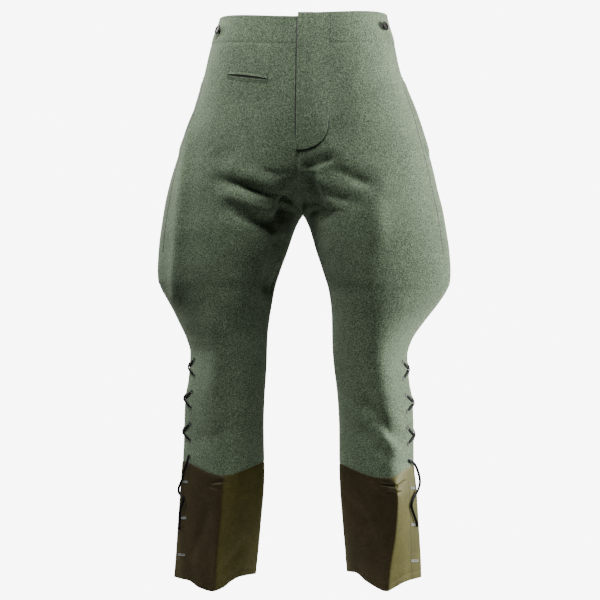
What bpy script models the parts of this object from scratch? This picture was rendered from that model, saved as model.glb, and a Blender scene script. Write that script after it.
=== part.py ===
"""Military riding breeches in grey-green wool, with laced calves and cotton ankle cuffs.

The garment keeps the hollow shape it has when it is worn. It is open at the waist
and at both hems. Units are metres, +Z is up, the front faces -Y and the wearer's
left is +X. The origin is the middle of the waist opening, halfway up the waistband.
"""

import math
from collections import namedtuple

import bmesh
import bpy
import numpy as np

# Cloth and seams
WOOL = 0.0020
COTTON = 0.0012
SEAM_GAP = 0.0003
LIE_GAP = 0.0007

# Heights of the horizontal seams and edges
RIGHT_TOP_Z = 0.0235
LEFT_TOP_Z = 0.0300
BAND_SEAM_Z = -0.0260
SIDE_RISE = 0.0140
SIDE_RISE_FADE = 0.1200
FORK_Z = -0.3150
FORK_Y = 0.0080
CUFF_SEAM_Z = -0.7600
HEM_Z = -0.9640
CUFF_SEAM_DIP = 0.0180

# Fly, pockets, buttons and laces
FLY_WIDTH = 0.0530
FLY_LAP = 0.0030
FLY_COLUMNS = 12
FLY_LIE_GAP = 0.0008
FLY_CURVE_Z = -0.1600
FLY_END_Z = -0.2090
FLY_CURVE_POWER = 2.3
WELT_OUTER = (-0.1270, -0.0762)
WELT_INNER = (-0.0540, -0.0879)
WELT_HEIGHT = 0.0060
WELT_SLIT = 0.0008
WELT_THICKNESS = 0.0012
POCKET_TOP_Z = -0.0700
POCKET_BOTTOM_Z = -0.2100
POCKET_EDGE_WIDTH = 0.0150
POCKET_EDGE_THICKNESS = 0.0012
BUTTON_DIAMETER = 0.0170
BUTTON_THICKNESS = 0.0030
BUTTON_SHANK_HEIGHT = 0.0016
BUTTON_Z = {-1: 0.0090, 1: 0.0150}
FRONT_BUTTON_X = {-1: 0.1480, 1: 0.1440}
BACK_BUTTON_X = 0.0400
EYELET_COUNT = 7
EYELET_TOP_Z = -0.5760
EYELET_PITCH = 0.0290
EYELET_INSET = 0.0230
LACE_WIDTH = 0.0040
LACE_THICKNESS = 0.0010
LACE_LIFT = 0.0009
LACE_CROSS_LIFT = 0.0022
LACE_END_DIAMETER = 0.0030
CUFF_LAP = 0.0140
CUFF_FADE = 0.0220

# Grid counts of the cloth walls
PANEL_COLUMNS = 15
CUFF_COLUMNS = 15
LEVEL_STEP = 0.0005
RING_SAMPLES = 129
CURVE_SAMPLES = 81

# One horizontal section of a half garment. out_, front_ and back_ are where the
# section reaches furthest to the side, the front and the back. The last word of
# each power names the quarter that it rounds: 2 is an ellipse, less is pointed.
Section = namedtuple(
    "Section",
    "z out_x out_y out_front_power out_back_power "
    "front_x front_y in_front_power back_x back_y in_back_power",
)
SECTIONS = [
    Section(0.055, 0.1485, 0.000, 2.10, 2.10, 0.000, -0.107, 1.0, 0.000, 0.103, 1.0),
    Section(0.031, 0.1540, 0.000, 2.10, 2.10, 0.000, -0.110, 1.0, 0.000, 0.106, 1.0),
    Section(0.000, 0.1640, 0.000, 2.10, 2.10, 0.000, -0.115, 1.0, 0.000, 0.112, 1.0),
    Section(-0.026, 0.1690, -0.002, 2.10, 2.10, 0.000, -0.119, 1.0, 0.000, 0.118, 1.0),
    Section(-0.054, 0.1755, -0.005, 2.05, 2.10, 0.004, -0.122, 1.0, 0.010, 0.127, 1.0),
    Section(-0.090, 0.1870, -0.010, 1.95, 2.20, 0.012, -0.125, 1.0, 0.030, 0.140, 1.0),
    Section(-0.126, 0.2010, -0.014, 1.80, 2.30, 0.022, -0.127, 1.0, 0.050, 0.151, 1.1),
    Section(-0.162, 0.2130, -0.017, 1.70, 2.30, 0.035, -0.128, 1.0, 0.065, 0.158, 1.2),
    Section(-0.198, 0.2240, -0.020, 1.60, 2.20, 0.050, -0.128, 1.1, 0.078, 0.160, 1.4),
    Section(-0.234, 0.2340, -0.020, 1.55, 2.10, 0.068, -0.127, 1.2, 0.088, 0.156, 1.5),
    Section(-0.270, 0.2420, -0.020, 1.50, 2.00, 0.086, -0.126, 1.4, 0.098, 0.149, 1.7),
    Section(-0.306, 0.2510, -0.020, 1.45, 1.90, 0.100, -0.124, 1.7, 0.105, 0.140, 1.9),
    Section(-0.342, 0.2570, -0.020, 1.45, 1.80, 0.110, -0.121, 1.9, 0.110, 0.131, 2.0),
    Section(-0.378, 0.2620, -0.018, 1.40, 1.70, 0.116, -0.117, 2.0, 0.114, 0.122, 2.1),
    Section(-0.414, 0.2640, -0.016, 1.40, 1.60, 0.120, -0.112, 2.0, 0.117, 0.114, 2.1),
    Section(-0.434, 0.2625, -0.014, 1.40, 1.60, 0.121, -0.109, 2.0, 0.118, 0.109, 2.1),
    Section(-0.450, 0.2560, -0.012, 1.42, 1.60, 0.122, -0.105, 2.0, 0.119, 0.105, 2.1),
    Section(-0.468, 0.2450, -0.010, 1.45, 1.60, 0.122, -0.102, 2.0, 0.120, 0.101, 2.1),
    Section(-0.504, 0.2220, -0.008, 1.50, 1.70, 0.124, -0.094, 2.0, 0.123, 0.093, 2.1),
    Section(-0.540, 0.2030, -0.008, 1.42, 1.75, 0.127, -0.088, 1.9, 0.126, 0.086, 2.0),
    Section(-0.566, 0.1965, -0.008, 1.30, 1.70, 0.129, -0.085, 1.9, 0.128, 0.083, 2.0),
    Section(-0.612, 0.1990, -0.010, 1.22, 1.65, 0.133, -0.080, 1.9, 0.131, 0.082, 2.0),
    Section(-0.648, 0.2050, -0.010, 1.20, 1.60, 0.137, -0.077, 1.9, 0.135, 0.084, 2.0),
    Section(-0.700, 0.2070, -0.010, 1.20, 1.60, 0.139, -0.076, 1.6, 0.138, 0.084, 2.0),
    Section(-0.760, 0.2080, -0.010, 1.20, 1.70, 0.141, -0.077, 1.5, 0.139, 0.079, 2.0),
    Section(-0.800, 0.2100, -0.008, 1.16, 1.80, 0.143, -0.078, 1.35, 0.141, 0.075, 2.0),
    Section(-0.860, 0.2140, -0.006, 1.12, 1.80, 0.146, -0.079, 1.3, 0.144, 0.072, 1.9),
    Section(-0.920, 0.2180, -0.004, 1.12, 1.80, 0.149, -0.080, 1.25, 0.148, 0.070, 1.9),
    Section(-0.985, 0.2220, -0.004, 1.12, 1.80, 0.152, -0.081, 1.25, 0.152, 0.069, 1.9),
]

# The centre seam: where the front and the back end on the plane between the legs
CentreSeam = namedtuple("CentreSeam", "z front_y back_y")
CENTRE_SEAM = [
    CentreSeam(0.055, -0.1070, 0.1030),
    CentreSeam(0.031, -0.1100, 0.1060),
    CentreSeam(0.000, -0.1150, 0.1120),
    CentreSeam(-0.026, -0.1190, 0.1180),
    CentreSeam(-0.090, -0.1245, 0.1385),
    CentreSeam(-0.162, -0.1265, 0.1520),
    CentreSeam(-0.198, -0.1250, 0.1500),
    CentreSeam(-0.234, -0.1180, 0.1390),
    CentreSeam(-0.262, -0.1040, 0.1210),
    CentreSeam(-0.284, -0.0830, 0.0950),
    CentreSeam(-0.300, -0.0530, 0.0640),
    CentreSeam(-0.309, -0.0240, 0.0370),
    CentreSeam(FORK_Z, FORK_Y, FORK_Y),
]

# The inseam of one leg, from the fork to the hem
Inseam = namedtuple("Inseam", "z x y")
INSEAM = [
    Inseam(FORK_Z, 0.0000, FORK_Y),
    Inseam(-0.324, 0.0060, 0.0060),
    Inseam(-0.342, 0.0140, 0.0020),
    Inseam(-0.360, 0.0200, -0.0020),
    Inseam(-0.378, 0.0255, -0.0060),
    Inseam(-0.414, 0.0380, -0.0100),
    Inseam(-0.450, 0.0485, -0.0120),
    Inseam(-0.504, 0.0560, -0.0120),
    Inseam(-0.576, 0.0600, -0.0120),
    Inseam(-0.648, 0.0660, -0.0100),
    Inseam(-0.700, 0.0680, -0.0080),
    Inseam(-0.760, 0.0680, -0.0060),
    Inseam(-0.800, 0.0690, -0.0040),
    Inseam(-0.860, 0.0730, -0.0020),
    Inseam(-0.920, 0.0780, 0.0000),
    Inseam(-0.985, 0.0840, 0.0000),
]

# How the legs lean to one side, in world +X: at the inseam or centre seam, at the
# outer seam, and at the front crease.
Lean = namedtuple("Lean", "z inner outer crease")
LEANS = {
    -1: [
        Lean(0.055, 0.000, 0.000, 0.000), Lean(-0.035, 0.000, -0.002, 0.000),
        Lean(-0.070, 0.000, 0.000, 0.000), Lean(-0.100, 0.000, 0.004, 0.000),
        Lean(-0.140, 0.000, 0.008, 0.000), Lean(-0.175, 0.000, 0.006, 0.000),
        Lean(-0.220, 0.000, 0.004, 0.000), Lean(-0.270, 0.000, 0.001, 0.000),
        Lean(FORK_Z, 0.000, 0.003, 0.000), Lean(-0.400, 0.000, 0.004, 0.000),
        Lean(-0.470, 0.000, 0.001, 0.002), Lean(-0.530, -0.002, -0.004, 0.004),
        Lean(-0.620, 0.001, -0.004, 0.008), Lean(-0.720, 0.003, -0.003, 0.010),
        Lean(-0.800, 0.005, -0.005, 0.013), Lean(-0.985, 0.004, -0.005, 0.010),
    ],
    1: [
        Lean(0.055, 0.000, -0.002, 0.000), Lean(-0.050, 0.000, -0.003, 0.000),
        Lean(-0.150, 0.000, -0.001, 0.000), Lean(-0.240, 0.000, 0.000, 0.000),
        Lean(FORK_Z, 0.000, 0.001, 0.000), Lean(-0.410, 0.000, 0.003, 0.000),
        Lean(-0.460, 0.001, 0.004, 0.004), Lean(-0.550, -0.002, -0.005, 0.014),
        Lean(-0.640, 0.001, -0.003, 0.020), Lean(-0.760, 0.003, -0.003, 0.027),
        Lean(-0.810, 0.004, 0.000, 0.032), Lean(-0.870, 0.005, 0.000, 0.026),
        Lean(-0.930, 0.005, 0.000, 0.014), Lean(-0.985, 0.008, 0.000, 0.006),
    ],
}

# The hem of each cuff: its height by how far round the leg it is, from the inseam
# over the front (0 to 1) and back again over the calf (1 to 2)
Hem = namedtuple("Hem", "round z")
HEMS = {
    -1: [
        Hem(0.00, -0.9625), Hem(0.21, -0.9612), Hem(0.30, -0.9665), Hem(0.40, -0.9765),
        Hem(0.52, -0.9822), Hem(0.64, -0.9790), Hem(0.80, -0.9705), Hem(1.00, -0.9712),
        Hem(1.30, -0.9670), Hem(1.60, -0.9650), Hem(2.00, -0.9625),
    ],
    1: [
        Hem(0.00, -0.9545), Hem(0.15, -0.9515), Hem(0.30, -0.9625), Hem(0.43, -0.9715),
        Hem(0.50, -0.9740), Hem(0.60, -0.9700), Hem(0.75, -0.9625), Hem(1.00, -0.9605),
        Hem(1.30, -0.9640), Hem(1.60, -0.9650), Hem(2.00, -0.9545),
    ],
}

# Rows of the wool panels, closer together where the crotch seam turns under
PANEL_ROWS = [
    BAND_SEAM_Z, -0.050, -0.080, -0.110, -0.140, -0.170, -0.200, -0.225, -0.250,
    -0.270, -0.286, -0.298, -0.307, -0.312, FORK_Z, -0.321, -0.332, -0.348, -0.368,
    -0.392, -0.412, -0.430, -0.446, -0.465, -0.486, -0.510, -0.535, -0.562, -0.592,
    -0.626, -0.660, -0.695, -0.729, CUFF_SEAM_Z,
]
CUFF_ROWS = [CUFF_SEAM_Z, -0.785, -0.820, -0.860, -0.905, HEM_Z]

# The largest folds. Each runs from x0, z0 to x1, z1 as seen from the front or the
# back; width is half of its breadth, depth is negative for a trough.
Fold = namedtuple("Fold", "face x0 z0 x1 z1 width depth")
FOLDS = [
    Fold("front", -0.010, -0.300, -0.135, -0.262, 0.013, -0.0070),
    Fold("front", -0.030, -0.285, -0.110, -0.240, 0.014, 0.0040),
    Fold("front", -0.050, -0.338, -0.120, -0.312, 0.013, -0.0070),
    Fold("front", -0.045, -0.318, -0.115, -0.288, 0.011, 0.0040),
    Fold("front", -0.060, -0.420, -0.090, -0.520, 0.020, -0.0030),
    Fold("front", -0.200, -0.140, -0.222, -0.460, 0.014, 0.0050),
    Fold("front", 0.010, -0.238, 0.058, -0.222, 0.008, -0.0060),
    Fold("front", 0.020, -0.256, 0.044, -0.322, 0.010, -0.0080),
    Fold("front", 0.062, -0.244, 0.128, -0.268, 0.015, -0.0045),
    Fold("front", 0.050, -0.285, 0.100, -0.300, 0.014, -0.0035),
    Fold("front", 0.066, -0.080, 0.068, -0.180, 0.014, -0.0035),
    Fold("front", 0.120, -0.655, 0.178, -0.705, 0.013, -0.0055),
    Fold("front", 0.118, -0.700, 0.162, -0.750, 0.012, -0.0040),
    Fold("front", 0.130, -0.680, 0.172, -0.730, 0.011, 0.0030),
    Fold("back", -0.020, -0.250, -0.110, -0.300, 0.016, -0.0065),
    Fold("back", 0.020, -0.250, 0.115, -0.290, 0.016, -0.0060),
    Fold("back", -0.040, -0.290, -0.130, -0.345, 0.015, -0.0050),
    Fold("back", 0.040, -0.295, 0.125, -0.335, 0.015, -0.0055),
    Fold("back", -0.085, -0.545, -0.165, -0.560, 0.012, -0.0050),
    Fold("back", 0.085, -0.550, 0.170, -0.570, 0.012, -0.0050),
    Fold("back", -0.090, -0.585, -0.175, -0.572, 0.012, -0.0040),
    Fold("back", 0.095, -0.590, 0.170, -0.600, 0.012, -0.0045),
]
FOLD_SEAM_FADE = 0.018

# Free ends of the laces. Each point is how far round the leg it lies from the
# front edge of the lacing, its height and how far it stands off the cloth.
LaceEnd = namedtuple("LaceEnd", "round z off")
FRONT_LACE_END = {
    -1: [
        LaceEnd(0.0000, -0.7500, 0.0020), LaceEnd(0.0020, -0.7630, 0.0026),
        LaceEnd(0.0080, -0.7770, 0.0028), LaceEnd(0.0120, -0.7930, 0.0030),
        LaceEnd(0.0210, -0.8075, 0.0034), LaceEnd(0.0190, -0.8180, 0.0034),
        LaceEnd(0.0050, -0.8245, 0.0030), LaceEnd(0.0055, -0.8345, 0.0028),
        LaceEnd(0.0115, -0.8480, 0.0028), LaceEnd(0.0110, -0.8680, 0.0028),
        LaceEnd(0.0088, -0.8840, 0.0028),
    ],
    1: [
        LaceEnd(0.0000, -0.7500, 0.0020), LaceEnd(0.0140, -0.7560, 0.0034),
        LaceEnd(0.0225, -0.7665, 0.0047), LaceEnd(0.0230, -0.7810, 0.0073),
        LaceEnd(0.0228, -0.7935, 0.0068), LaceEnd(0.0170, -0.8060, 0.0040),
        LaceEnd(0.0000, -0.8190, 0.0030), LaceEnd(-0.0060, -0.8290, 0.0028),
        LaceEnd(-0.0030, -0.8380, 0.0028), LaceEnd(0.0020, -0.8460, 0.0028),
        LaceEnd(0.0100, -0.8600, 0.0028), LaceEnd(0.0120, -0.8690, 0.0028),
    ],
}
BACK_LACE_END = [
    LaceEnd(0.0460, -0.7505, 0.0020), LaceEnd(0.0500, -0.7680, 0.0026),
    LaceEnd(0.0560, -0.7860, 0.0036), LaceEnd(0.0540, -0.8050, 0.0034),
    LaceEnd(0.0580, -0.8240, 0.0030), LaceEnd(0.0600, -0.8420, 0.0030),
    LaceEnd(0.0590, -0.8600, 0.0030),
]
LACE_END_STEP = 0.0080

# Colours, roughness and metallic value
Finish = namedtuple("Finish", "colour roughness metallic")
FINISHES = {
    "wool": Finish((0.115, 0.145, 0.105), 0.95, 0.0),
    "cotton": Finish((0.075, 0.062, 0.030), 0.60, 0.0),
    "button": Finish((0.020, 0.018, 0.016), 0.35, 0.8),
    "lace": Finish((0.008, 0.008, 0.008), 0.80, 0.0),
}


def smooth(table, name, wanted, along="z"):
    """Values of one column of a table, on a smooth monotone curve along another."""
    rows = sorted(table, key=lambda row: getattr(row, along))
    places = np.array([getattr(row, along) for row in rows])
    values = np.array([getattr(row, name) for row in rows])
    steps = np.diff(places)
    slopes = np.diff(values) / steps
    tangents = np.zeros_like(values)
    tangents[0], tangents[-1] = slopes[0], slopes[-1]
    before, after = slopes[:-1], slopes[1:]
    same_way = before * after > 0
    mean = 2 * before * after / np.where(same_way, before + after, 1)
    tangents[1:-1] = np.where(same_way, mean, 0)
    wanted = np.clip(wanted, places[0], places[-1])
    i = np.clip(np.searchsorted(places, wanted, side="right") - 1, 0, len(steps) - 1)
    t = (wanted - places[i]) / steps[i]
    hermite_start = 2 * t**3 - 3 * t**2 + 1
    return (
        hermite_start * values[i]
        + (1 - hermite_start) * values[i + 1]
        + (t**3 - 2 * t**2 + t) * steps[i] * tangents[i]
        + (t**3 - t**2) * steps[i] * tangents[i + 1]
    )


def smoothstep(x):
    x = np.clip(x, 0, 1)
    return x * x * (3 - 2 * x)


def quarter(side_x, side_y, tip_x, tip_y, power):
    """Rounded quarter of a section from its side point to its front or back tip."""
    angle = np.linspace(0, math.pi / 2, CURVE_SAMPLES)[None, :]
    exponent = 2 / power[:, None]
    across = np.clip(np.cos(angle), 0, 1) ** exponent
    along = np.clip(np.sin(angle), 0, 1) ** exponent
    x = tip_x[:, None] + (side_x - tip_x)[:, None] * across
    y = side_y[:, None] + (tip_y - side_y)[:, None] * along
    return np.stack([x, y], axis=2)


def evenly(curves):
    """Each level's curve with its points spread evenly, and its length."""
    spans = np.linalg.norm(np.diff(curves, axis=1), axis=2)
    run = np.concatenate([np.zeros((len(curves), 1)), np.cumsum(spans, axis=1)], axis=1)
    wanted = np.linspace(0, 1, RING_SAMPLES)
    out = np.empty((len(curves), RING_SAMPLES, 2))
    for i, (curve, lengths) in enumerate(zip(curves, run)):
        for axis in (0, 1):
            out[i, :, axis] = np.interp(wanted * lengths[-1], lengths, curve[:, axis])
    return out, run[:, -1]


class HalfGarment:
    """The base surface of one half, as rings from the centre front to the back.

    u is 0 at the centre front or inseam, 1 at the outer seam and 2 at the centre
    back or inseam. Both halves are kept on the +X side, and shell puts them in place.
    """

    def __init__(self, side):
        self.levels = np.arange(SECTIONS[-1].z, SECTIONS[0].z, LEVEL_STEP)
        z = self.levels
        column = {name: smooth(SECTIONS, name, z) for name in Section._fields}
        above = z >= FORK_Z
        inseam_x, inseam_y = smooth(INSEAM, "x", z), smooth(INSEAM, "y", z)
        end_x = np.where(above, 0, inseam_x)
        front_end = np.where(above, smooth(CENTRE_SEAM, "front_y", z), inseam_y)
        back_end = np.where(above, smooth(CENTRE_SEAM, "back_y", z), inseam_y)
        out_x, out_y = column["out_x"], column["out_y"]
        halves = []
        for end_y, tip, sign in ((front_end, "front", 1), (back_end, "back", -1)):
            tip_x, tip_y = column[f"{tip}_x"], column[f"{tip}_y"]
            inner = quarter(end_x, end_y, tip_x, tip_y, column[f"in_{tip}_power"])
            outer = quarter(out_x, out_y, tip_x, tip_y, column[f"out_{tip}_power"])
            curve = np.concatenate([inner, outer[:, -2::-1]], axis=1)
            lean = {name: smooth(LEANS[side], name, z)[:, None] for name in Lean._fields}
            share = (curve[..., 0] - end_x[:, None]) / (out_x - end_x)[:, None]
            forward = np.clip(curve[..., 1] / column["front_y"][:, None], 0, 1) ** 2
            shift = lean["inner"] + (lean["outer"] - lean["inner"]) * share
            curve[..., 0] += side * (shift + lean["crease"] * forward)
            halves.append(evenly(curve[:, ::sign]))
        (front, self.front_length), (back, self.back_length) = halves
        flat = np.concatenate([front, back[:, 1:]], axis=1)
        heights = np.repeat(z[:, None], flat.shape[1], axis=1)
        self.ring = np.concatenate([flat, heights[:, :, None]], axis=2)
        self.normal = self.outward(above)

    def outward(self, above):
        ring = self.ring
        before = np.roll(ring, 1, axis=1)
        after = np.roll(ring, -1, axis=1)
        mirror = np.array([-1, 1, 1])
        before[:, 0] = np.where(above[:, None], ring[:, 1] * mirror, ring[:, -2])
        after[:, -1] = np.where(above[:, None], ring[:, -2] * mirror, ring[:, 1])
        around = after - before
        up = np.gradient(ring, axis=0)
        normal = np.cross(around, up)
        return normal / np.linalg.norm(normal, axis=2)[:, :, None]

    def sample(self, grid, u, z):
        row = np.clip((z - self.levels[0]) / LEVEL_STEP, 0, len(self.levels) - 1.001)
        col = np.clip(u * (RING_SAMPLES - 1), 0, grid.shape[1] - 1.001)
        i, j = row.astype(int), col.astype(int)
        a, b = (row - i)[..., None], (col - j)[..., None]
        low = grid[i, j] * (1 - b) + grid[i, j + 1] * b
        high = grid[i + 1, j] * (1 - b) + grid[i + 1, j + 1] * b
        return low * (1 - a) + high * a

    def length(self, face, z):
        lengths = self.front_length if face == "front" else self.back_length
        return np.interp(z, self.levels, lengths)

    def u_at_x(self, x, z):
        """u of the front point that lies x to the side, at one height."""
        row = self.ring[int((z - self.levels[0]) / LEVEL_STEP), :RING_SAMPLES]
        return float(np.interp(x, row[:, 0], np.linspace(0, 1, RING_SAMPLES)))


HALVES = {side: HalfGarment(side) for side in (-1, 1)}


def relief(points, side, u):
    """How far the folds lift or sink the cloth at these points of one side."""
    total = np.zeros(points.shape[:-1])
    x, z = points[..., 0] * side, points[..., 2]
    on_front = u <= 1
    for fold in FOLDS:
        if fold.x0 * side < 0:
            continue
        along = np.array([fold.x1 - fold.x0, fold.z1 - fold.z0])
        dx, dz = x - fold.x0, z - fold.z0
        share = np.clip((dx * along[0] + dz * along[1]) / (along @ along), 0, 1)
        away = np.hypot(dx - share * along[0], dz - share * along[1])
        face = on_front if fold.face == "front" else ~on_front
        total += np.where(face, fold.depth * np.exp(-((away / fold.width) ** 2)), 0)
    half = HALVES[side]
    length = np.where(on_front, half.length("front", z), half.length("back", z))
    to_seam = np.minimum(u % 1, 1 - u % 1) * length
    total *= smoothstep(to_seam / FOLD_SEAM_FADE)
    return total * smoothstep((z - CUFF_SEAM_Z - CUFF_SEAM_DIP / 2) / 0.02)


def shell(side, u, z, height):
    """Points that stand height off the outer face of the cloth on one side."""
    u, z = np.broadcast_arrays(np.asarray(u, float), np.asarray(z, float))
    half = HALVES[side]
    base = half.sample(half.ring, u, z)
    normal = half.sample(half.normal, u, z)
    normal /= np.linalg.norm(normal, axis=-1)[..., None]
    lift = relief(base, side, u) + height
    points = base + normal * np.asarray(lift)[..., None]
    points[..., 0] = np.maximum(points[..., 0], SEAM_GAP / 2)
    return points * np.array([side, 1, 1])


def material(name):
    if name not in bpy.data.materials:
        made = bpy.data.materials.new(name)
        made.use_nodes = True
        shader = made.node_tree.nodes["Principled BSDF"]
        finish = FINISHES[name]
        shader.inputs["Base Color"].default_value = (*finish.colour, 1)
        shader.inputs["Roughness"].default_value = finish.roughness
        shader.inputs["Metallic"].default_value = finish.metallic
    return bpy.data.materials[name]


def mesh_object(name, bm, finish):
    bmesh.ops.recalc_face_normals(bm, faces=bm.faces)
    mesh = bpy.data.meshes.new(name)
    bm.to_mesh(mesh)
    bm.free()
    mesh.materials.append(material(finish))
    mesh.shade_smooth()
    mesh.set_sharp_from_angle(angle=math.radians(40))
    made = bpy.data.objects.new(name, mesh)
    bpy.context.scene.collection.objects.link(made)
    return made


def wall(name, outer, inner, finish):
    """A closed cloth wall between two grids of points."""
    bm = bmesh.new()
    rows, cols = outer.shape[:2]
    faces = [[[bm.verts.new(p) for p in row] for row in grid] for grid in (outer, inner)]
    out, back = faces
    for i in range(rows - 1):
        for j in range(cols - 1):
            for a, b in (((i, j + 1), (i + 1, j + 1)), ((i + 1, j + 1), (i + 1, j))):
                bm.faces.new([out[k][m] for k, m in ((i, j), a, b)])
                bm.faces.new([back[k][m] for k, m in ((i, j), b, a)])
    edge = [(0, j) for j in range(cols)]
    edge += [(i, cols - 1) for i in range(1, rows)]
    edge += [(rows - 1, j) for j in range(cols - 2, -1, -1)]
    edge += [(i, 0) for i in range(rows - 2, 0, -1)]
    for (i, j), (k, m) in zip(edge, edge[1:] + edge[:1]):
        bm.faces.new((out[i][j], back[i][j], back[k][m], out[k][m]))
    return mesh_object(name, bm, finish)


def side_rise(u):
    """How much higher the waist sits at the sides and the back than at the front."""
    return SIDE_RISE * smoothstep(u)


def cuff_seam_z(u):
    """Height of the seam between the wool and the cuff, lowest at front and back."""
    return CUFF_SEAM_Z - CUFF_SEAM_DIP * np.sin(math.pi * u) ** 2 * np.where(u <= 1, 1, 0.4)


def hem_z(side, u):
    return smooth(HEMS[side], "z", u, "round")


def panel_columns(side, face, z):
    """u of evenly spread columns of one face, kept clear of its two side seams."""
    length = HALVES[side].length(face, z)[:, None]
    inset = SEAM_GAP / 2 / length
    share = np.linspace(0, 1, PANEL_COLUMNS)
    return inset + (1 - 2 * inset) * share + (0 if face == "front" else 1)


def panel_grid(side, face):
    """u and z of a wool front or back, from the waistband seam to the cuff seam."""
    rows = np.array(PANEL_ROWS)
    rows[0] -= SEAM_GAP / 2
    u = panel_columns(side, face, rows)
    z = np.repeat(rows[:, None], PANEL_COLUMNS, axis=1)
    bottom = cuff_seam_z(u[-1]) + SEAM_GAP / 2
    low = smoothstep((FORK_Z - z) / (FORK_Z - CUFF_SEAM_Z))
    high = 1 - smoothstep((BAND_SEAM_Z - z) / SIDE_RISE_FADE)
    return u, z + low * (bottom - CUFF_SEAM_Z)[None, :] + high * side_rise(u)


def waistband_grid(side):
    """u and z of half of the waistband, from the centre front to the centre back."""
    top = LEFT_TOP_Z if side > 0 else RIGHT_TOP_Z
    share = np.linspace(0, 1, 2 * PANEL_COLUMNS - 1)
    heights = np.linspace(BAND_SEAM_Z + SEAM_GAP / 2, top, 4)[::-1]
    inset = SEAM_GAP / 2 / HALVES[side].length("front", 0)
    u = np.repeat((inset + share * (2 - 2 * inset))[None, :], len(heights), axis=0)
    return u, heights[:, None] + side_rise(u)


def wool_piece(side, piece):
    u, z = CLOTH[side, piece]
    name = f"{piece}_{'left' if side > 0 else 'right'}"
    return wall(name, shell(side, u, z, 0), shell(side, u, z, -WOOL), "wool")


def on_cloth(side, u, z, height):
    """A point that stands height off the faceted outer face of the wool."""
    face = "front" if u <= 1 else "back"
    piece = "waistband" if z > BAND_SEAM_Z + side_rise(u) else face
    grid_u, grid_z = CLOTH[side, piece]
    rows, cols = grid_u.shape
    share = np.clip((u - grid_u[0, 0]) / (grid_u[0, -1] - grid_u[0, 0]), 0, 0.9999)
    j, b = int(share * (cols - 1)), share * (cols - 1) % 1
    along = grid_z[:, j] * (1 - b) + grid_z[:, j + 1] * b
    row = min(np.interp(-z, -along, np.arange(rows)), rows - 1.001)
    i, a = int(row), row % 1
    corners = np.ix_((i, i + 1), (j, j + 1))
    weights = np.array([[1 - max(a, b), max(b - a, 0)], [max(a - b, 0), min(a, b)]])[..., None]
    base = shell(side, grid_u[corners], grid_z[corners], 0)
    raised = shell(side, grid_u[corners], grid_z[corners], 1e-3)
    normal = ((raised - base) * weights).sum(axis=(0, 1))
    return (base * weights).sum(axis=(0, 1)) + normal / np.linalg.norm(normal) * height


def fly_width(z):
    """How far the fly reaches from its free edge, narrowing on a curve at its end."""
    drop = np.clip((FLY_CURVE_Z - z) / (FLY_CURVE_Z - FLY_END_Z), 0, 1)
    return FLY_WIDTH * (1 - drop**FLY_CURVE_POWER) ** (1 / FLY_CURVE_POWER)


def front_strip_point(arc, z, height):
    """A point on the front, arc to the wearer's left of the centre line."""
    side = 1 if arc >= 0 else -1
    return on_cloth(side, abs(arc) / float(HALVES[side].length("front", z)), z, height)


def fly_panel():
    """The lapped front edge of the fly, from the waist to its curved end."""
    straight = np.linspace(LEFT_TOP_Z, FLY_CURVE_Z, 14)
    curve = (0.2, 0.38, 0.55, 0.70, 0.82, 0.91, 0.97, 0.995)
    curved = [FLY_CURVE_Z + (FLY_END_Z - FLY_CURVE_Z) * t for t in curve]
    rows = [*straight, *curved]
    grids = []
    for height in (FLY_LIE_GAP + WOOL, FLY_LIE_GAP):
        grid = []
        for z in rows:
            width = float(fly_width(z))
            arcs = np.linspace(-FLY_LAP, width, FLY_COLUMNS)
            grid.append([front_strip_point(arc, z, height) for arc in arcs])
        grids.append(np.array(grid))
    return wall("fly_panel", *grids, "wool")


def watch_pocket():
    """Two welts over and under the slit of the small front pocket."""
    share = np.linspace(0, 1, 9)
    middle_x = WELT_OUTER[0] + (WELT_INNER[0] - WELT_OUTER[0]) * share
    middle_z = WELT_OUTER[1] + (WELT_INNER[1] - WELT_OUTER[1]) * share
    for name, way in (("upper", 1), ("lower", -1)):
        offsets = np.array([WELT_HEIGHT + WELT_SLIT / 2, WELT_HEIGHT / 2, WELT_SLIT / 2]) * way
        grids = []
        for height in (LIE_GAP + WELT_THICKNESS, LIE_GAP):
            rows = []
            for offset in offsets:
                z = middle_z + offset
                u = [HALVES[-1].u_at_x(-x, h) for x, h in zip(middle_x, z)]
                rows.append([on_cloth(-1, a, h, height) for a, h in zip(u, z)])
            grids.append(np.array(rows))
        wall(f"watch_pocket_welt_{name}", *grids, "wool")


def side_pocket(side):
    """The faced front edge of the pocket that opens in the outer seam."""
    grids = []
    for height in (LIE_GAP + POCKET_EDGE_THICKNESS, LIE_GAP):
        rows = []
        for z in np.linspace(POCKET_TOP_Z, POCKET_BOTTOM_Z, 20):
            length = float(HALVES[side].length("front", z))
            arcs = np.linspace(POCKET_EDGE_WIDTH, SEAM_GAP, 4)
            rows.append([on_cloth(side, 1 - arc / length, z, height) for arc in arcs])
        grids.append(np.array(rows))
    wall(f"side_pocket_edge_{'left' if side > 0 else 'right'}", *grids, "wool")


def cuff_columns(side, face, z):
    """u of the columns of one cuff piece. Both pieces share those of the lap."""
    back_length = HALVES[side].length("back", z)[:, None]
    lap = np.array([0.5, 1]) * CUFF_LAP
    if face == "front":
        length = HALVES[side].length("front", z)[:, None]
        share = np.linspace(0, 1, CUFF_COLUMNS)
        first = SEAM_GAP / 2 / length
        return np.concatenate([first + (1 - first) * share, 1 + lap / back_length], axis=1)
    near = np.concatenate([[0], lap, CUFF_LAP + np.array([0.18, 0.5, 1]) * CUFF_FADE])
    near = near / back_length
    last = 1 - SEAM_GAP / 2 / back_length
    share = np.linspace(0, 1, CUFF_COLUMNS - 1)[1:]
    rest = near[:, -1:] + (last - near[:, -1:]) * share
    return 1 + np.concatenate([near, rest], axis=1)


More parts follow.
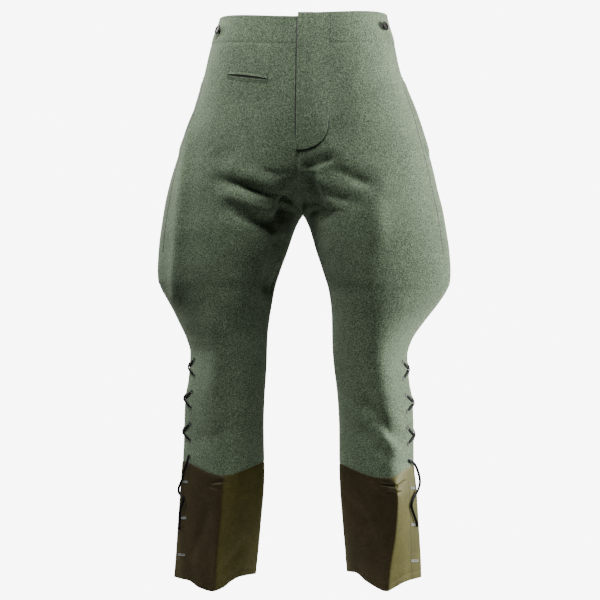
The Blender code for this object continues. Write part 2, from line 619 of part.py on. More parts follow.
def cuff(side, face):
    """A cotton cuff piece. The front one laps over the back one at the outer slit."""
    rows = np.array(CUFF_ROWS)
    u = cuff_columns(side, face, rows)
    share = ((rows - rows[0]) / (rows[-1] - rows[0]))[:, None]
    top, bottom = cuff_seam_z(u) - SEAM_GAP / 2, hem_z(side, u)
    z = top + (bottom - top) * share
    sink = 0.0
    if face == "back":
        from_slit = (u - 1) * HALVES[side].length("back", z)
        start = CUFF_LAP + 0.001
        sink = (COTTON + LIE_GAP) * (1 - smoothstep((from_slit - start) / CUFF_FADE))
    name = f"cuff_{face}_{'left' if side > 0 else 'right'}"
    outer = shell(side, u, z, -sink)
    inner = shell(side, u, z, -sink - COTTON)
    return wall(name, outer, inner, "cotton")


CLOTH = {(side, "waistband"): waistband_grid(side) for side in (-1, 1)}
CLOTH.update({(side, face): panel_grid(side, face) for side in (-1, 1) for face in ("front", "back")})


def frame_at(side, u, z):
    """A point of the cloth's outer face with its normal and its downward direction."""
    point = shell(side, u, z, 0)
    normal = shell(side, u, z, 1e-3) - point
    normal /= np.linalg.norm(normal)
    down = shell(side, u, z - 1e-3, 0) - point
    down -= normal * (down @ normal)
    return point, normal, down / np.linalg.norm(down)


def brace_button(side, face, x):
    """A round dished button on its shank, turned about the normal of the waistband."""
    z = BUTTON_Z[side]
    if face == "front":
        u = HALVES[side].u_at_x(x, z)
    else:
        u = 2 - x / float(HALVES[side].length("back", z))
    point, normal, down = frame_at(side, u, z)
    across = np.cross(normal, down)
    radius = BUTTON_DIAMETER / 2
    low = SEAM_GAP + BUTTON_SHANK_HEIGHT
    high = low + BUTTON_THICKNESS
    profile = [
        (0.20 * radius, SEAM_GAP), (0.20 * radius, low), (0.86 * radius, low),
        (radius, low + 0.35 * BUTTON_THICKNESS), (0.92 * radius, high),
        (0.74 * radius, high), (0.60 * radius, high - 0.5 * BUTTON_THICKNESS),
    ]
    turns = 20
    bm = bmesh.new()
    rings = []
    for r, h in profile:
        ring = []
        for k in range(turns):
            angle = 2 * math.pi * k / turns
            spoke = across * math.cos(angle) + down * math.sin(angle)
            ring.append(bm.verts.new(point + spoke * r + normal * h))
        rings.append(ring)
    for lower, upper in zip(rings, rings[1:]):
        for k in range(turns):
            m = (k + 1) % turns
            bm.faces.new((lower[k], lower[m], upper[m], upper[k]))
    bm.faces.new(rings[0][::-1])
    bm.faces.new(rings[-1])
    name = f"brace_button_{face}_{'left' if side > 0 else 'right'}"
    return mesh_object(name, bm, "button")


def round_leg(side, around, z, height):
    """A point that lies around from the front edge of the lacing, backwards."""
    arc = around - EYELET_INSET
    face = "front" if arc < 0 else "back"
    u = 1 + arc / float(HALVES[side].length(face, z))
    return on_cloth(side, u, z, height)


def off_leg(side, around, z, height):
    arc = around - EYELET_INSET
    length = HALVES[side].length("front" if arc < 0 else "back", z)
    return shell(side, 1 + arc / length, z, height)


def lace_strap(side, name, start, end, crossing_lift):
    """One flat stretch of lace from eyelet to eyelet over the slit."""
    stations = 9
    share = np.linspace(0, 1, stations)
    around = start[0] + (end[0] - start[0]) * share
    z = start[1] + (end[1] - start[1]) * share
    lift = LACE_LIFT + crossing_lift * np.exp(-(((share - 0.5) / 0.17) ** 2))
    low = np.array([round_leg(side, a, h, k) for a, h, k in zip(around, z, lift)])
    bottom = np.array([round_leg(side, a, h, 0) for a, h in zip(around, z)])
    normal = low - bottom
    normal /= np.linalg.norm(normal, axis=1)[:, None]
    along = np.gradient(low, axis=0)
    across = np.cross(along, normal)
    across /= np.linalg.norm(across, axis=1)[:, None]
    half = across * LACE_WIDTH / 2
    inner = np.stack([low - half, low + half], axis=1)
    outer = inner + (normal * LACE_THICKNESS)[:, None, :]
    return wall(name, outer, inner, "lace")


def lacing(side):
    """The crossed stretches that show, between each pair of eyelets."""
    where = "left" if side > 0 else "right"
    front, back = 0.0, 2 * EYELET_INSET
    for pair in range(EYELET_COUNT // 2):
        high = EYELET_TOP_Z - 2 * pair * EYELET_PITCH
        low = high - EYELET_PITCH
        lace_strap(side, f"lace_under_{where}_{pair + 1}", (front, high), (back, low), 0)
        lace_strap(side, f"lace_over_{where}_{pair + 1}", (front, low), (back, high), LACE_CROSS_LIFT)


def smooth_route(points):
    """Points about a step apart on a smooth curve through the route's own points."""
    points = np.array(points)
    ends = np.concatenate([[2 * points[0] - points[1]], points, [2 * points[-1] - points[-2]]])
    route = []
    for p0, p1, p2, p3 in zip(ends, ends[1:], ends[2:], ends[3:]):
        for t in np.linspace(0, 1, 12, endpoint=False):
            route.append(
                0.5 * (2 * p1 + (p2 - p0) * t + (2 * p0 - 5 * p1 + 4 * p2 - p3) * t**2
                       + (3 * p1 - p0 - 3 * p2 + p3) * t**3)
            )
    route = np.array([*route, points[-1]])
    run = np.concatenate([[0], np.cumsum(np.linalg.norm(np.diff(route, axis=0), axis=1))])
    count = max(2, round(run[-1] / LACE_END_STEP) + 1)
    wanted = np.linspace(0, run[-1], count)
    return np.stack([np.interp(wanted, run, route[:, k]) for k in range(3)], axis=1)


def lace_end(side, edge, rows):
    """A free end of the lace, hanging from its last eyelet."""
    route = smooth_route([off_leg(side, row.round, row.z, row.off) for row in rows])
    name = f"lace_{edge}_end_{'left' if side > 0 else 'right'}"
    curve = bpy.data.curves.new(name, "CURVE")
    curve.dimensions = "3D"
    curve.bevel_depth = LACE_END_DIAMETER / 2
    curve.bevel_resolution = 2
    curve.use_fill_caps = True
    spline = curve.splines.new("POLY")
    spline.points.add(len(route) - 1)
    for point, position in zip(spline.points, route):
        point.co = (*position, 1)
    curve.materials.append(material("lace"))
    made = bpy.data.objects.new(name, curve)
    bpy.context.scene.collection.objects.link(made)


def main():
    for old in list(bpy.data.objects):
        bpy.data.objects.remove(old)
    breeches = bpy.data.objects.new("breeches", None)
    bpy.context.scene.collection.objects.link(breeches)
    fly_panel()
    watch_pocket()
    for side in (-1, 1):
        side_pocket(side)
        for piece in ("waistband", "front", "back"):
            wool_piece(side, piece)
        for face in ("front", "back"):
            cuff(side, face)
        brace_button(side, "front", FRONT_BUTTON_X[side])
        brace_button(side, "back", BACK_BUTTON_X)
        lacing(side)
        lace_end(side, "front", FRONT_LACE_END[side])
        lace_end(side, "back", BACK_LACE_END)
    for piece in bpy.data.objects:
        if piece is not breeches:
            piece.parent = breeches


main()
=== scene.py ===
"""Looks of the military riding breeches: wool, cotton cuffs, lacing and stitching."""

import math
from collections import namedtuple

import bmesh
import bpy
import numpy as np
from mathutils import Matrix, Vector


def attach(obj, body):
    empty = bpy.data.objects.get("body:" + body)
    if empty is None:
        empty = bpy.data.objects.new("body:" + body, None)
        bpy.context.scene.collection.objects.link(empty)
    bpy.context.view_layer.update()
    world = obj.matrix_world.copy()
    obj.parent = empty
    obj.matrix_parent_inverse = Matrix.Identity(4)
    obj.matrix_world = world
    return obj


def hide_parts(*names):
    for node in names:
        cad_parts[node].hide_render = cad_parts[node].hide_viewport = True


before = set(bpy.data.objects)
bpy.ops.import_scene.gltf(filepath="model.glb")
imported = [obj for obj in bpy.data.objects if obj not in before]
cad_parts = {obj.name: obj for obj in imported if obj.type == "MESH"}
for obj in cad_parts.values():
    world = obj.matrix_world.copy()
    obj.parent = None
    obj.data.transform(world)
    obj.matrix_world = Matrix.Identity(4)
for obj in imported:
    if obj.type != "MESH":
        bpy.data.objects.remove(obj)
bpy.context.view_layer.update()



def table_of(kind, *rows):
    """Rows of plain numbers as named rows of one kind."""
    return [kind(*row) for row in rows]


# Sizes as in the solids, apart from SEAM_GAP, LACE_WIDTH and what only shows here
WOOL = 0.0020
COTTON = 0.0012
SEAM_GAP = 0.00002
RIGHT_TOP_Z = 0.0235
LEFT_TOP_Z = 0.0300
BAND_SEAM_Z = -0.0260
SIDE_RISE = 0.0140
SIDE_RISE_FADE = 0.1200
FORK_Z = -0.3150
FORK_Y = 0.0080
CUFF_SEAM_Z = -0.7600
HEM_Z = -0.9640
CUFF_SEAM_DIP = 0.0180
FLY_WIDTH = 0.0530
FLY_LAP = 0.0030
FLY_CURVE_Z = -0.1600
FLY_END_Z = -0.2090
FLY_CURVE_POWER = 2.3
FLY_STITCH_INSET = 0.0075
WELT_OUTER = (-0.1270, -0.0762)
WELT_INNER = (-0.0540, -0.0879)
WELT_HEIGHT = 0.0060
WELT_LENGTH = 0.0695
WATCH_MOUTH = 0.0016
WATCH_MOUTH_LEAST = 0.0003
POCKET_TOP_Z = -0.0700
POCKET_BOTTOM_Z = -0.2100
POCKET_EDGE_WIDTH = 0.0150
POCKET_STITCH_RISE = 0.0004
POCKET_BARTACK_ARC = 0.0075
SIDE_LINE_ARC = 0.0240
SIDE_LINE_TOP_Z = -0.0850
SIDE_LINE_BOTTOM_Z = -0.3850
PLACKET_ARC = 0.0290
PLACKET_TOP_Z = -0.7860
PLACKET_BOTTOM_Z = -0.9620
ALLOWANCE_WIDTH = 0.0100
ALLOWANCE_BOTTOM_Z = -0.2700
EYELET_COUNT = 7
EYELET_TOP_Z = -0.5760
EYELET_PITCH = 0.0290
EYELET_INSET = 0.0230
LACE_WIDTH = 0.0048
LACE_THICKNESS = 0.0014
LACE_STEP = 0.0025
LACE_OUTLINE = [
    (-0.50, 0.0), (-0.46, 0.32), (-0.36, 0.46), (0.0, 0.5), (0.36, 0.46), (0.46, 0.32),
    (0.50, 0.0), (0.46, -0.32), (0.36, -0.46), (0.0, -0.5), (-0.36, -0.46), (-0.46, -0.32),
]
EYELET_STEPS = 20
EYELET_PROFILE = [
    (0.0006, -0.0008), (0.0015, -0.0002), (0.0021, 0.0006), (0.0030, 0.0007), (0.0036, 0.0001),
]
CUFF_LAP = 0.0140
CUFF_FADE = 0.0220
CUFF_HALF_GIRTH = 0.20
HEM_STITCH_RISE = 0.0120
BUTTONHOLE_TILT = 0.10
LEVEL_STEP = 0.0005
RING_SAMPLES = 257
CURVE_SAMPLES = 161
ROW_SPLIT = 8
CREASE_ROUNDING = 0.021
CUFF_CREASE_ROUNDING = 0.002
ROUNDING_BOTTOM_Z = -0.790
ROUNDING_FADE = 0.020
ROUNDING_END_FADE = 0.045
PANEL_COLUMNS = 97

# How far things that lie on the cloth stand off it, and the radii of cut edges
LIE = 0.0001
BAND_EDGE = 0.0012
FLY_EDGE = 0.0013
POCKET_EDGE = 0.0014
WELT_EDGE = 0.0011
COTTON_EDGE = 0.0009

# Seams and rows of stitches sink into the cloth
Groove = namedtuple("Groove", "depth width")
LEG_SEAM_GROOVE = Groove(0.0010, 0.0022)
BAND_SEAM_GROOVE = Groove(0.0008, 0.0020)
FLY_STITCH_GROOVE = Groove(0.0006, 0.0011)
CUFF_SEAM_GROOVE = Groove(0.0006, 0.0018)
HEM_STITCH_GROOVE = Groove(0.0005, 0.0012)

# Flat sizes of the cut pieces
SEAM_ALLOWANCE = 0.020
CUFF_ALLOWANCE = 0.010

Section = namedtuple(
    "Section",
    "z out_x out_y out_front_power out_back_power "
    "front_x front_y in_front_power back_x back_y in_back_power",
)
SECTIONS = table_of(
    Section,
    (0.055, 0.1485, 0.000, 2.10, 2.10, 0.000, -0.107, 1.0, 0.000, 0.103, 1.0),
    (0.031, 0.1540, 0.000, 2.10, 2.10, 0.000, -0.110, 1.0, 0.000, 0.106, 1.0),
    (0.000, 0.1640, 0.000, 2.10, 2.10, 0.000, -0.115, 1.0, 0.000, 0.112, 1.0),
    (-0.026, 0.1690, -0.002, 2.10, 2.10, 0.000, -0.119, 1.0, 0.000, 0.118, 1.0),
    (-0.054, 0.1755, -0.005, 2.05, 2.10, 0.004, -0.122, 1.0, 0.010, 0.127, 1.0),
    (-0.090, 0.1870, -0.010, 1.95, 2.20, 0.012, -0.125, 1.0, 0.030, 0.140, 1.0),
    (-0.126, 0.2010, -0.014, 1.80, 2.30, 0.022, -0.127, 1.0, 0.050, 0.151, 1.1),
    (-0.162, 0.2130, -0.017, 1.70, 2.30, 0.035, -0.128, 1.0, 0.065, 0.158, 1.2),
    (-0.198, 0.2240, -0.020, 1.60, 2.20, 0.050, -0.128, 1.1, 0.078, 0.160, 1.4),
    (-0.234, 0.2340, -0.020, 1.55, 2.10, 0.068, -0.127, 1.2, 0.088, 0.156, 1.5),
    (-0.270, 0.2420, -0.020, 1.50, 2.00, 0.086, -0.126, 1.4, 0.098, 0.149, 1.7),
    (-0.306, 0.2510, -0.020, 1.45, 1.90, 0.100, -0.124, 1.7, 0.105, 0.140, 1.9),
    (-0.342, 0.2570, -0.020, 1.45, 1.80, 0.110, -0.121, 1.9, 0.110, 0.131, 2.0),
    (-0.378, 0.2620, -0.018, 1.40, 1.70, 0.116, -0.117, 2.0, 0.114, 0.122, 2.1),
    (-0.414, 0.2640, -0.016, 1.40, 1.60, 0.120, -0.112, 2.0, 0.117, 0.114, 2.1),
    (-0.434, 0.2625, -0.014, 1.40, 1.60, 0.121, -0.109, 2.0, 0.118, 0.109, 2.1),
    (-0.450, 0.2560, -0.012, 1.42, 1.60, 0.122, -0.105, 2.0, 0.119, 0.105, 2.1),
    (-0.468, 0.2450, -0.010, 1.45, 1.60, 0.122, -0.102, 2.0, 0.120, 0.101, 2.1),
    (-0.504, 0.2220, -0.008, 1.50, 1.70, 0.124, -0.094, 2.0, 0.123, 0.093, 2.1),
    (-0.540, 0.2030, -0.008, 1.42, 1.75, 0.127, -0.088, 1.9, 0.126, 0.086, 2.0),
    (-0.566, 0.1965, -0.008, 1.30, 1.70, 0.129, -0.085, 1.9, 0.128, 0.083, 2.0),
    (-0.612, 0.1990, -0.010, 1.22, 1.65, 0.133, -0.080, 1.9, 0.131, 0.082, 2.0),
    (-0.648, 0.2050, -0.010, 1.20, 1.60, 0.137, -0.077, 1.9, 0.135, 0.084, 2.0),
    (-0.700, 0.2070, -0.010, 1.20, 1.60, 0.139, -0.076, 1.6, 0.138, 0.084, 2.0),
    (-0.760, 0.2080, -0.010, 1.20, 1.70, 0.141, -0.077, 1.5, 0.139, 0.079, 2.0),
    (-0.800, 0.2100, -0.008, 1.16, 1.80, 0.143, -0.078, 1.35, 0.141, 0.075, 2.0),
    (-0.860, 0.2140, -0.006, 1.12, 1.80, 0.146, -0.079, 1.3, 0.144, 0.072, 1.9),
    (-0.920, 0.2180, -0.004, 1.12, 1.80, 0.149, -0.080, 1.25, 0.148, 0.070, 1.9),
    (-0.985, 0.2220, -0.004, 1.12, 1.80, 0.152, -0.081, 1.25, 0.152, 0.069, 1.9),
)

CentreSeam = namedtuple("CentreSeam", "z front_y back_y")
CENTRE_SEAM = table_of(
    CentreSeam,
    (0.055, -0.1070, 0.1030), (0.031, -0.1100, 0.1060),
    (0.000, -0.1150, 0.1120), (-0.026, -0.1190, 0.1180),
    (-0.090, -0.1245, 0.1385), (-0.162, -0.1265, 0.1520),
    (-0.198, -0.1250, 0.1500), (-0.234, -0.1180, 0.1390),
    (-0.262, -0.1040, 0.1210), (-0.284, -0.0830, 0.0950),
    (-0.300, -0.0530, 0.0640), (-0.309, -0.0240, 0.0370),
    (FORK_Z, FORK_Y, FORK_Y),
)

Inseam = namedtuple("Inseam", "z x y")
INSEAM = table_of(
    Inseam,
    (FORK_Z, 0.0000, FORK_Y), (-0.324, 0.0060, 0.0060),
    (-0.342, 0.0140, 0.0020), (-0.360, 0.0200, -0.0020),
    (-0.378, 0.0255, -0.0060), (-0.414, 0.0380, -0.0100),
    (-0.450, 0.0485, -0.0120), (-0.504, 0.0560, -0.0120),
    (-0.576, 0.0600, -0.0120), (-0.648, 0.0660, -0.0100),
    (-0.700, 0.0680, -0.0080), (-0.760, 0.0680, -0.0060),
    (-0.800, 0.0690, -0.0040), (-0.860, 0.0730, -0.0020),
    (-0.920, 0.0780, 0.0000), (-0.985, 0.0840, 0.0000),
)

Lean = namedtuple("Lean", "z inner outer crease")
LEANS = {
    -1: table_of(
        Lean,
        (0.055, 0.000, 0.000, 0.000), (-0.035, 0.000, -0.002, 0.000),
        (-0.070, 0.000, 0.000, 0.000), (-0.100, 0.000, 0.004, 0.000),
        (-0.140, 0.000, 0.008, 0.000), (-0.175, 0.000, 0.006, 0.000),
        (-0.220, 0.000, 0.004, 0.000), (-0.270, 0.000, 0.001, 0.000),
        (FORK_Z, 0.000, 0.003, 0.000), (-0.400, 0.000, 0.004, 0.000),
        (-0.470, 0.000, 0.001, 0.002), (-0.530, -0.002, -0.004, 0.004),
        (-0.620, 0.001, -0.004, 0.008), (-0.720, 0.003, -0.003, 0.010),
        (-0.800, 0.005, -0.005, 0.013), (-0.985, 0.004, -0.005, 0.010),
    ),
    1: table_of(
        Lean,
        (0.055, 0.000, -0.002, 0.000), (-0.050, 0.000, -0.003, 0.000),
        (-0.150, 0.000, -0.001, 0.000), (-0.240, 0.000, 0.000, 0.000),
        (FORK_Z, 0.000, 0.001, 0.000), (-0.410, 0.000, 0.003, 0.000),
        (-0.460, 0.001, 0.004, 0.004), (-0.550, -0.002, -0.005, 0.014),
        (-0.640, 0.001, -0.003, 0.020), (-0.760, 0.003, -0.003, 0.027),
        (-0.810, 0.004, 0.000, 0.032), (-0.870, 0.005, 0.000, 0.026),
        (-0.930, 0.005, 0.000, 0.014), (-0.985, 0.008, 0.000, 0.006),
    ),
}

# The hem of each cuff: its height by how far round the leg it is, from the inseam
# over the front (0 to 1) and back again over the calf (1 to 2)
Hem = namedtuple("Hem", "round z")
HEMS = {
    -1: table_of(
        Hem,
        (0.00, -0.9625), (0.21, -0.9612), (0.30, -0.9665), (0.40, -0.9765),
        (0.52, -0.9822), (0.64, -0.9790), (0.80, -0.9705), (1.00, -0.9712),
        (1.30, -0.9670), (1.60, -0.9650), (2.00, -0.9625),
    ),
    1: table_of(
        Hem,
        (0.00, -0.9545), (0.15, -0.9515), (0.30, -0.9625), (0.43, -0.9715),
        (0.50, -0.9740), (0.60, -0.9700), (0.75, -0.9625), (1.00, -0.9605),
        (1.30, -0.9640), (1.60, -0.9650), (2.00, -0.9545),
    ),
}

PANEL_ROWS = [
    BAND_SEAM_Z, -0.050, -0.080, -0.110, -0.140, -0.170, -0.200, -0.225, -0.250,
    -0.270, -0.286, -0.298, -0.307, -0.312, FORK_Z, -0.321, -0.332, -0.348, -0.368,
    -0.392, -0.412, -0.430, -0.446, -0.465, -0.486, -0.510, -0.535, -0.562, -0.592,
    -0.626, -0.660, -0.695, -0.729, CUFF_SEAM_Z,
]

# The solids' folds, a few of them softer here, then the finer creases that only show here
Fold = namedtuple("Fold", "face x0 z0 x1 z1 width depth")
FOLDS = table_of(
    Fold,
    ("front", -0.010, -0.300, -0.135, -0.262, 0.013, -0.0060),
    ("front", -0.030, -0.285, -0.110, -0.240, 0.014, 0.0040),
    ("front", -0.050, -0.338, -0.120, -0.312, 0.015, -0.0045),
    ("front", -0.045, -0.318, -0.115, -0.288, 0.011, 0.0040),
    ("front", -0.060, -0.420, -0.090, -0.520, 0.020, -0.0030),
    ("front", -0.200, -0.140, -0.222, -0.460, 0.014, 0.0050),
    ("front", 0.010, -0.238, 0.058, -0.222, 0.009, -0.0030),
    ("front", 0.020, -0.256, 0.044, -0.322, 0.010, -0.0080),
    ("front", 0.062, -0.244, 0.128, -0.268, 0.015, -0.0045),
    ("front", 0.050, -0.285, 0.100, -0.300, 0.014, -0.0035),
    ("front", 0.066, -0.080, 0.068, -0.180, 0.018, -0.0018),
    ("front", 0.120, -0.655, 0.178, -0.705, 0.013, -0.0055),
    ("front", 0.118, -0.700, 0.162, -0.750, 0.012, -0.0040),
    ("front", 0.130, -0.680, 0.172, -0.730, 0.011, 0.0030),
    ("back", -0.020, -0.250, -0.110, -0.300, 0.016, -0.0065),
    ("back", 0.020, -0.250, 0.115, -0.290, 0.016, -0.0060),
    ("back", -0.040, -0.290, -0.130, -0.345, 0.015, -0.0050),
    ("back", 0.040, -0.295, 0.125, -0.335, 0.015, -0.0055),
    ("back", -0.085, -0.545, -0.165, -0.560, 0.012, -0.0050),
    ("back", 0.085, -0.550, 0.170, -0.570, 0.012, -0.0050),
    ("back", -0.090, -0.585, -0.175, -0.572, 0.012, -0.0040),
    ("back", 0.095, -0.590, 0.170, -0.600, 0.012, -0.0045),
)
FOLD_SEAM_FADE = 0.018
CREASE_SEAM_FADE = 0.007
FORK_RECESS_WIDTH = 0.026
FORK_RECESS_DEPTH = -0.011
FORK_RECESS_TOP_Z = -0.250
FORK_RECESS_FADE = 0.030
FORK_RECESS_END_FADE = 0.012
CUFF_SEAM_FADE = 0.020
Crease = namedtuple("Crease", "side face width depth path")
CREASES = table_of(
    Crease,
    (-1, "front", 0.0060, -0.0030,
     [(-0.138, -0.260), (-0.095, -0.275), (-0.059, -0.2855), (-0.012, -0.284)]),
    (-1, "front", 0.0070, 0.0022, [(-0.125, -0.272), (-0.080, -0.290), (-0.030, -0.298)]),
    (-1, "front", 0.0070, -0.0020, [(-0.112, -0.3216), (-0.078, -0.3337), (-0.045, -0.336)]),
    (-1, "front", 0.0130, -0.0130,
     [(-0.052, -0.352), (-0.038, -0.328), (-0.020, -0.306), (-0.002, -0.288)]),
    (-1, "front", 0.0100, -0.0070, [(-0.030, -0.345), (-0.046, -0.400), (-0.058, -0.470)]),
    (-1, "front", 0.0080, 0.0035, [(-0.058, -0.325), (-0.035, -0.300), (-0.015, -0.283)]),
    (-1, "front", 0.0050, -0.0020, [(-0.060, -0.245), (-0.035, -0.252), (-0.008, -0.249)]),
    (-1, "front", 0.0160, -0.0020, [(-0.150, -0.205), (-0.120, -0.235), (-0.085, -0.250)]),
    (-1, "front", 0.0180, 0.0026, [(-0.150, -0.470), (-0.142, -0.560), (-0.150, -0.650)]),
    (-1, "front", 0.0120, -0.0022, [(-0.110, -0.690), (-0.150, -0.715), (-0.185, -0.712)]),
    (1, "front", 0.0042, -0.0030,
     [(0.006, -0.2407), (0.031, -0.2373), (0.043, -0.2321), (0.0635, -0.2252)]),
    (1, "front", 0.0100, -0.0070,
     [(0.012, -0.248), (0.016, -0.275), (0.022, -0.300), (0.028, -0.324)]),
    (1, "front", 0.0070, 0.0030, [(0.032, -0.250), (0.046, -0.278), (0.056, -0.305)]),
    (1, "front", 0.0200, 0.0035, [(0.133, -0.250), (0.139, -0.320), (0.141, -0.390)]),
    (1, "front", 0.0070, -0.0022, [(0.070, -0.245), (0.100, -0.258), (0.131, -0.270)]),
    (1, "front", 0.0060, -0.0020, [(0.048, -0.287), (0.070, -0.295), (0.091, -0.297)]),
    (1, "front", 0.0080, -0.0022, [(0.124, -0.676), (0.150, -0.690), (0.174, -0.709)]),
    (1, "front", 0.0060, -0.0020, [(0.132, -0.726), (0.145, -0.736), (0.158, -0.750)]),
    (-1, "back", 0.0080, -0.0030, [(-0.020, -0.262), (-0.060, -0.280), (-0.105, -0.286)]),
    (-1, "back", 0.0070, -0.0025, [(-0.050, -0.305), (-0.085, -0.330), (-0.130, -0.338)]),
    (-1, "back", 0.0070, -0.0028, [(-0.090, -0.548), (-0.125, -0.560), (-0.165, -0.556)]),
    (-1, "back", 0.0060, -0.0020, [(-0.100, -0.578), (-0.135, -0.584), (-0.170, -0.574)]),
    (1, "back", 0.0080, -0.0028, [(0.025, -0.258), (0.065, -0.272), (0.112, -0.284)]),
    (1, "back", 0.0070, -0.0025, [(0.045, -0.302), (0.090, -0.325), (0.122, -0.328)]),
    (1, "back", 0.0065, -0.0026, [(0.088, -0.552), (0.120, -0.566), (0.168, -0.566)]),
    (1, "back", 0.0070, -0.0020, [(0.098, -0.592), (0.130, -0.600), (0.165, -0.594)]),
)


def smooth(table, name, wanted, along="z"):
    """Values of one column of a table, on a smooth monotone curve along another."""
    rows = sorted(table, key=lambda row: getattr(row, along))
    places = np.array([getattr(row, along) for row in rows])
    values = np.array([getattr(row, name) for row in rows])
    steps = np.diff(places)
    slopes = np.diff(values) / steps
    tangents = np.zeros_like(values)
    tangents[0], tangents[-1] = slopes[0], slopes[-1]
    before, after = slopes[:-1], slopes[1:]
    same_way = before * after > 0
    mean = 2 * before * after / np.where(same_way, before + after, 1)
    tangents[1:-1] = np.where(same_way, mean, 0)
    wanted = np.clip(wanted, places[0], places[-1])
    i = np.clip(np.searchsorted(places, wanted, side="right") - 1, 0, len(steps) - 1)
    t = (wanted - places[i]) / steps[i]
    hermite_start = 2 * t**3 - 3 * t**2 + 1
    return (
        hermite_start * values[i]
        + (1 - hermite_start) * values[i + 1]
        + (t**3 - 2 * t**2 + t) * steps[i] * tangents[i]
        + (t**3 - t**2) * steps[i] * tangents[i + 1]
    )


def smoothstep(x):
    x = np.clip(x, 0, 1)
    return x * x * (3 - 2 * x)


def bell(distance, width):
    """1 on a line, and falling off smoothly on both sides of it."""
    return np.exp(-((distance / width) ** 2))


def sunk(groove, distance):
    """How deep a groove is at this distance from its middle."""
    return groove.depth * bell(distance, groove.width)


def unit(vectors):
    """The same directions at length 1."""
    return vectors / np.linalg.norm(vectors, axis=-1)[..., None]


def beside(x, z, start, span):
    """Where on a straight line the nearest place is, from 0 to 1, and how far off it is."""
    x, z = x - start[0], z - start[1]
    share = np.clip((x * span[0] + z * span[1]) / (span @ span), 0, 1)
    return share, np.hypot(x - share * span[0], z - share * span[1])


def quarter(side_x, side_y, tip_x, tip_y, power):
    """Rounded quarter of a section from its side point to its front or back tip."""
    angle = np.linspace(0, math.pi / 2, CURVE_SAMPLES)[None, :]
    exponent = 2 / power[:, None]
    across = np.clip(np.cos(angle), 0, 1) ** exponent
    along = np.clip(np.sin(angle), 0, 1) ** exponent
    x = tip_x[:, None] + (side_x - tip_x)[:, None] * across
    y = side_y[:, None] + (tip_y - side_y)[:, None] * along
    return np.stack([x, y], axis=2)


def evenly(curves):
    """Each level's curve with its points spread evenly, and its length."""
    spans = np.linalg.norm(np.diff(curves, axis=1), axis=2)
    run = np.concatenate([np.zeros((len(curves), 1)), np.cumsum(spans, axis=1)], axis=1)
    wanted = np.linspace(0, 1, RING_SAMPLES)
    out = np.empty((len(curves), RING_SAMPLES, 2))
    for i, (curve, lengths) in enumerate(zip(curves, run)):
        for axis in (0, 1):
            out[i, :, axis] = np.interp(wanted * lengths[-1], lengths, curve[:, axis])
    return out, run[:, -1]


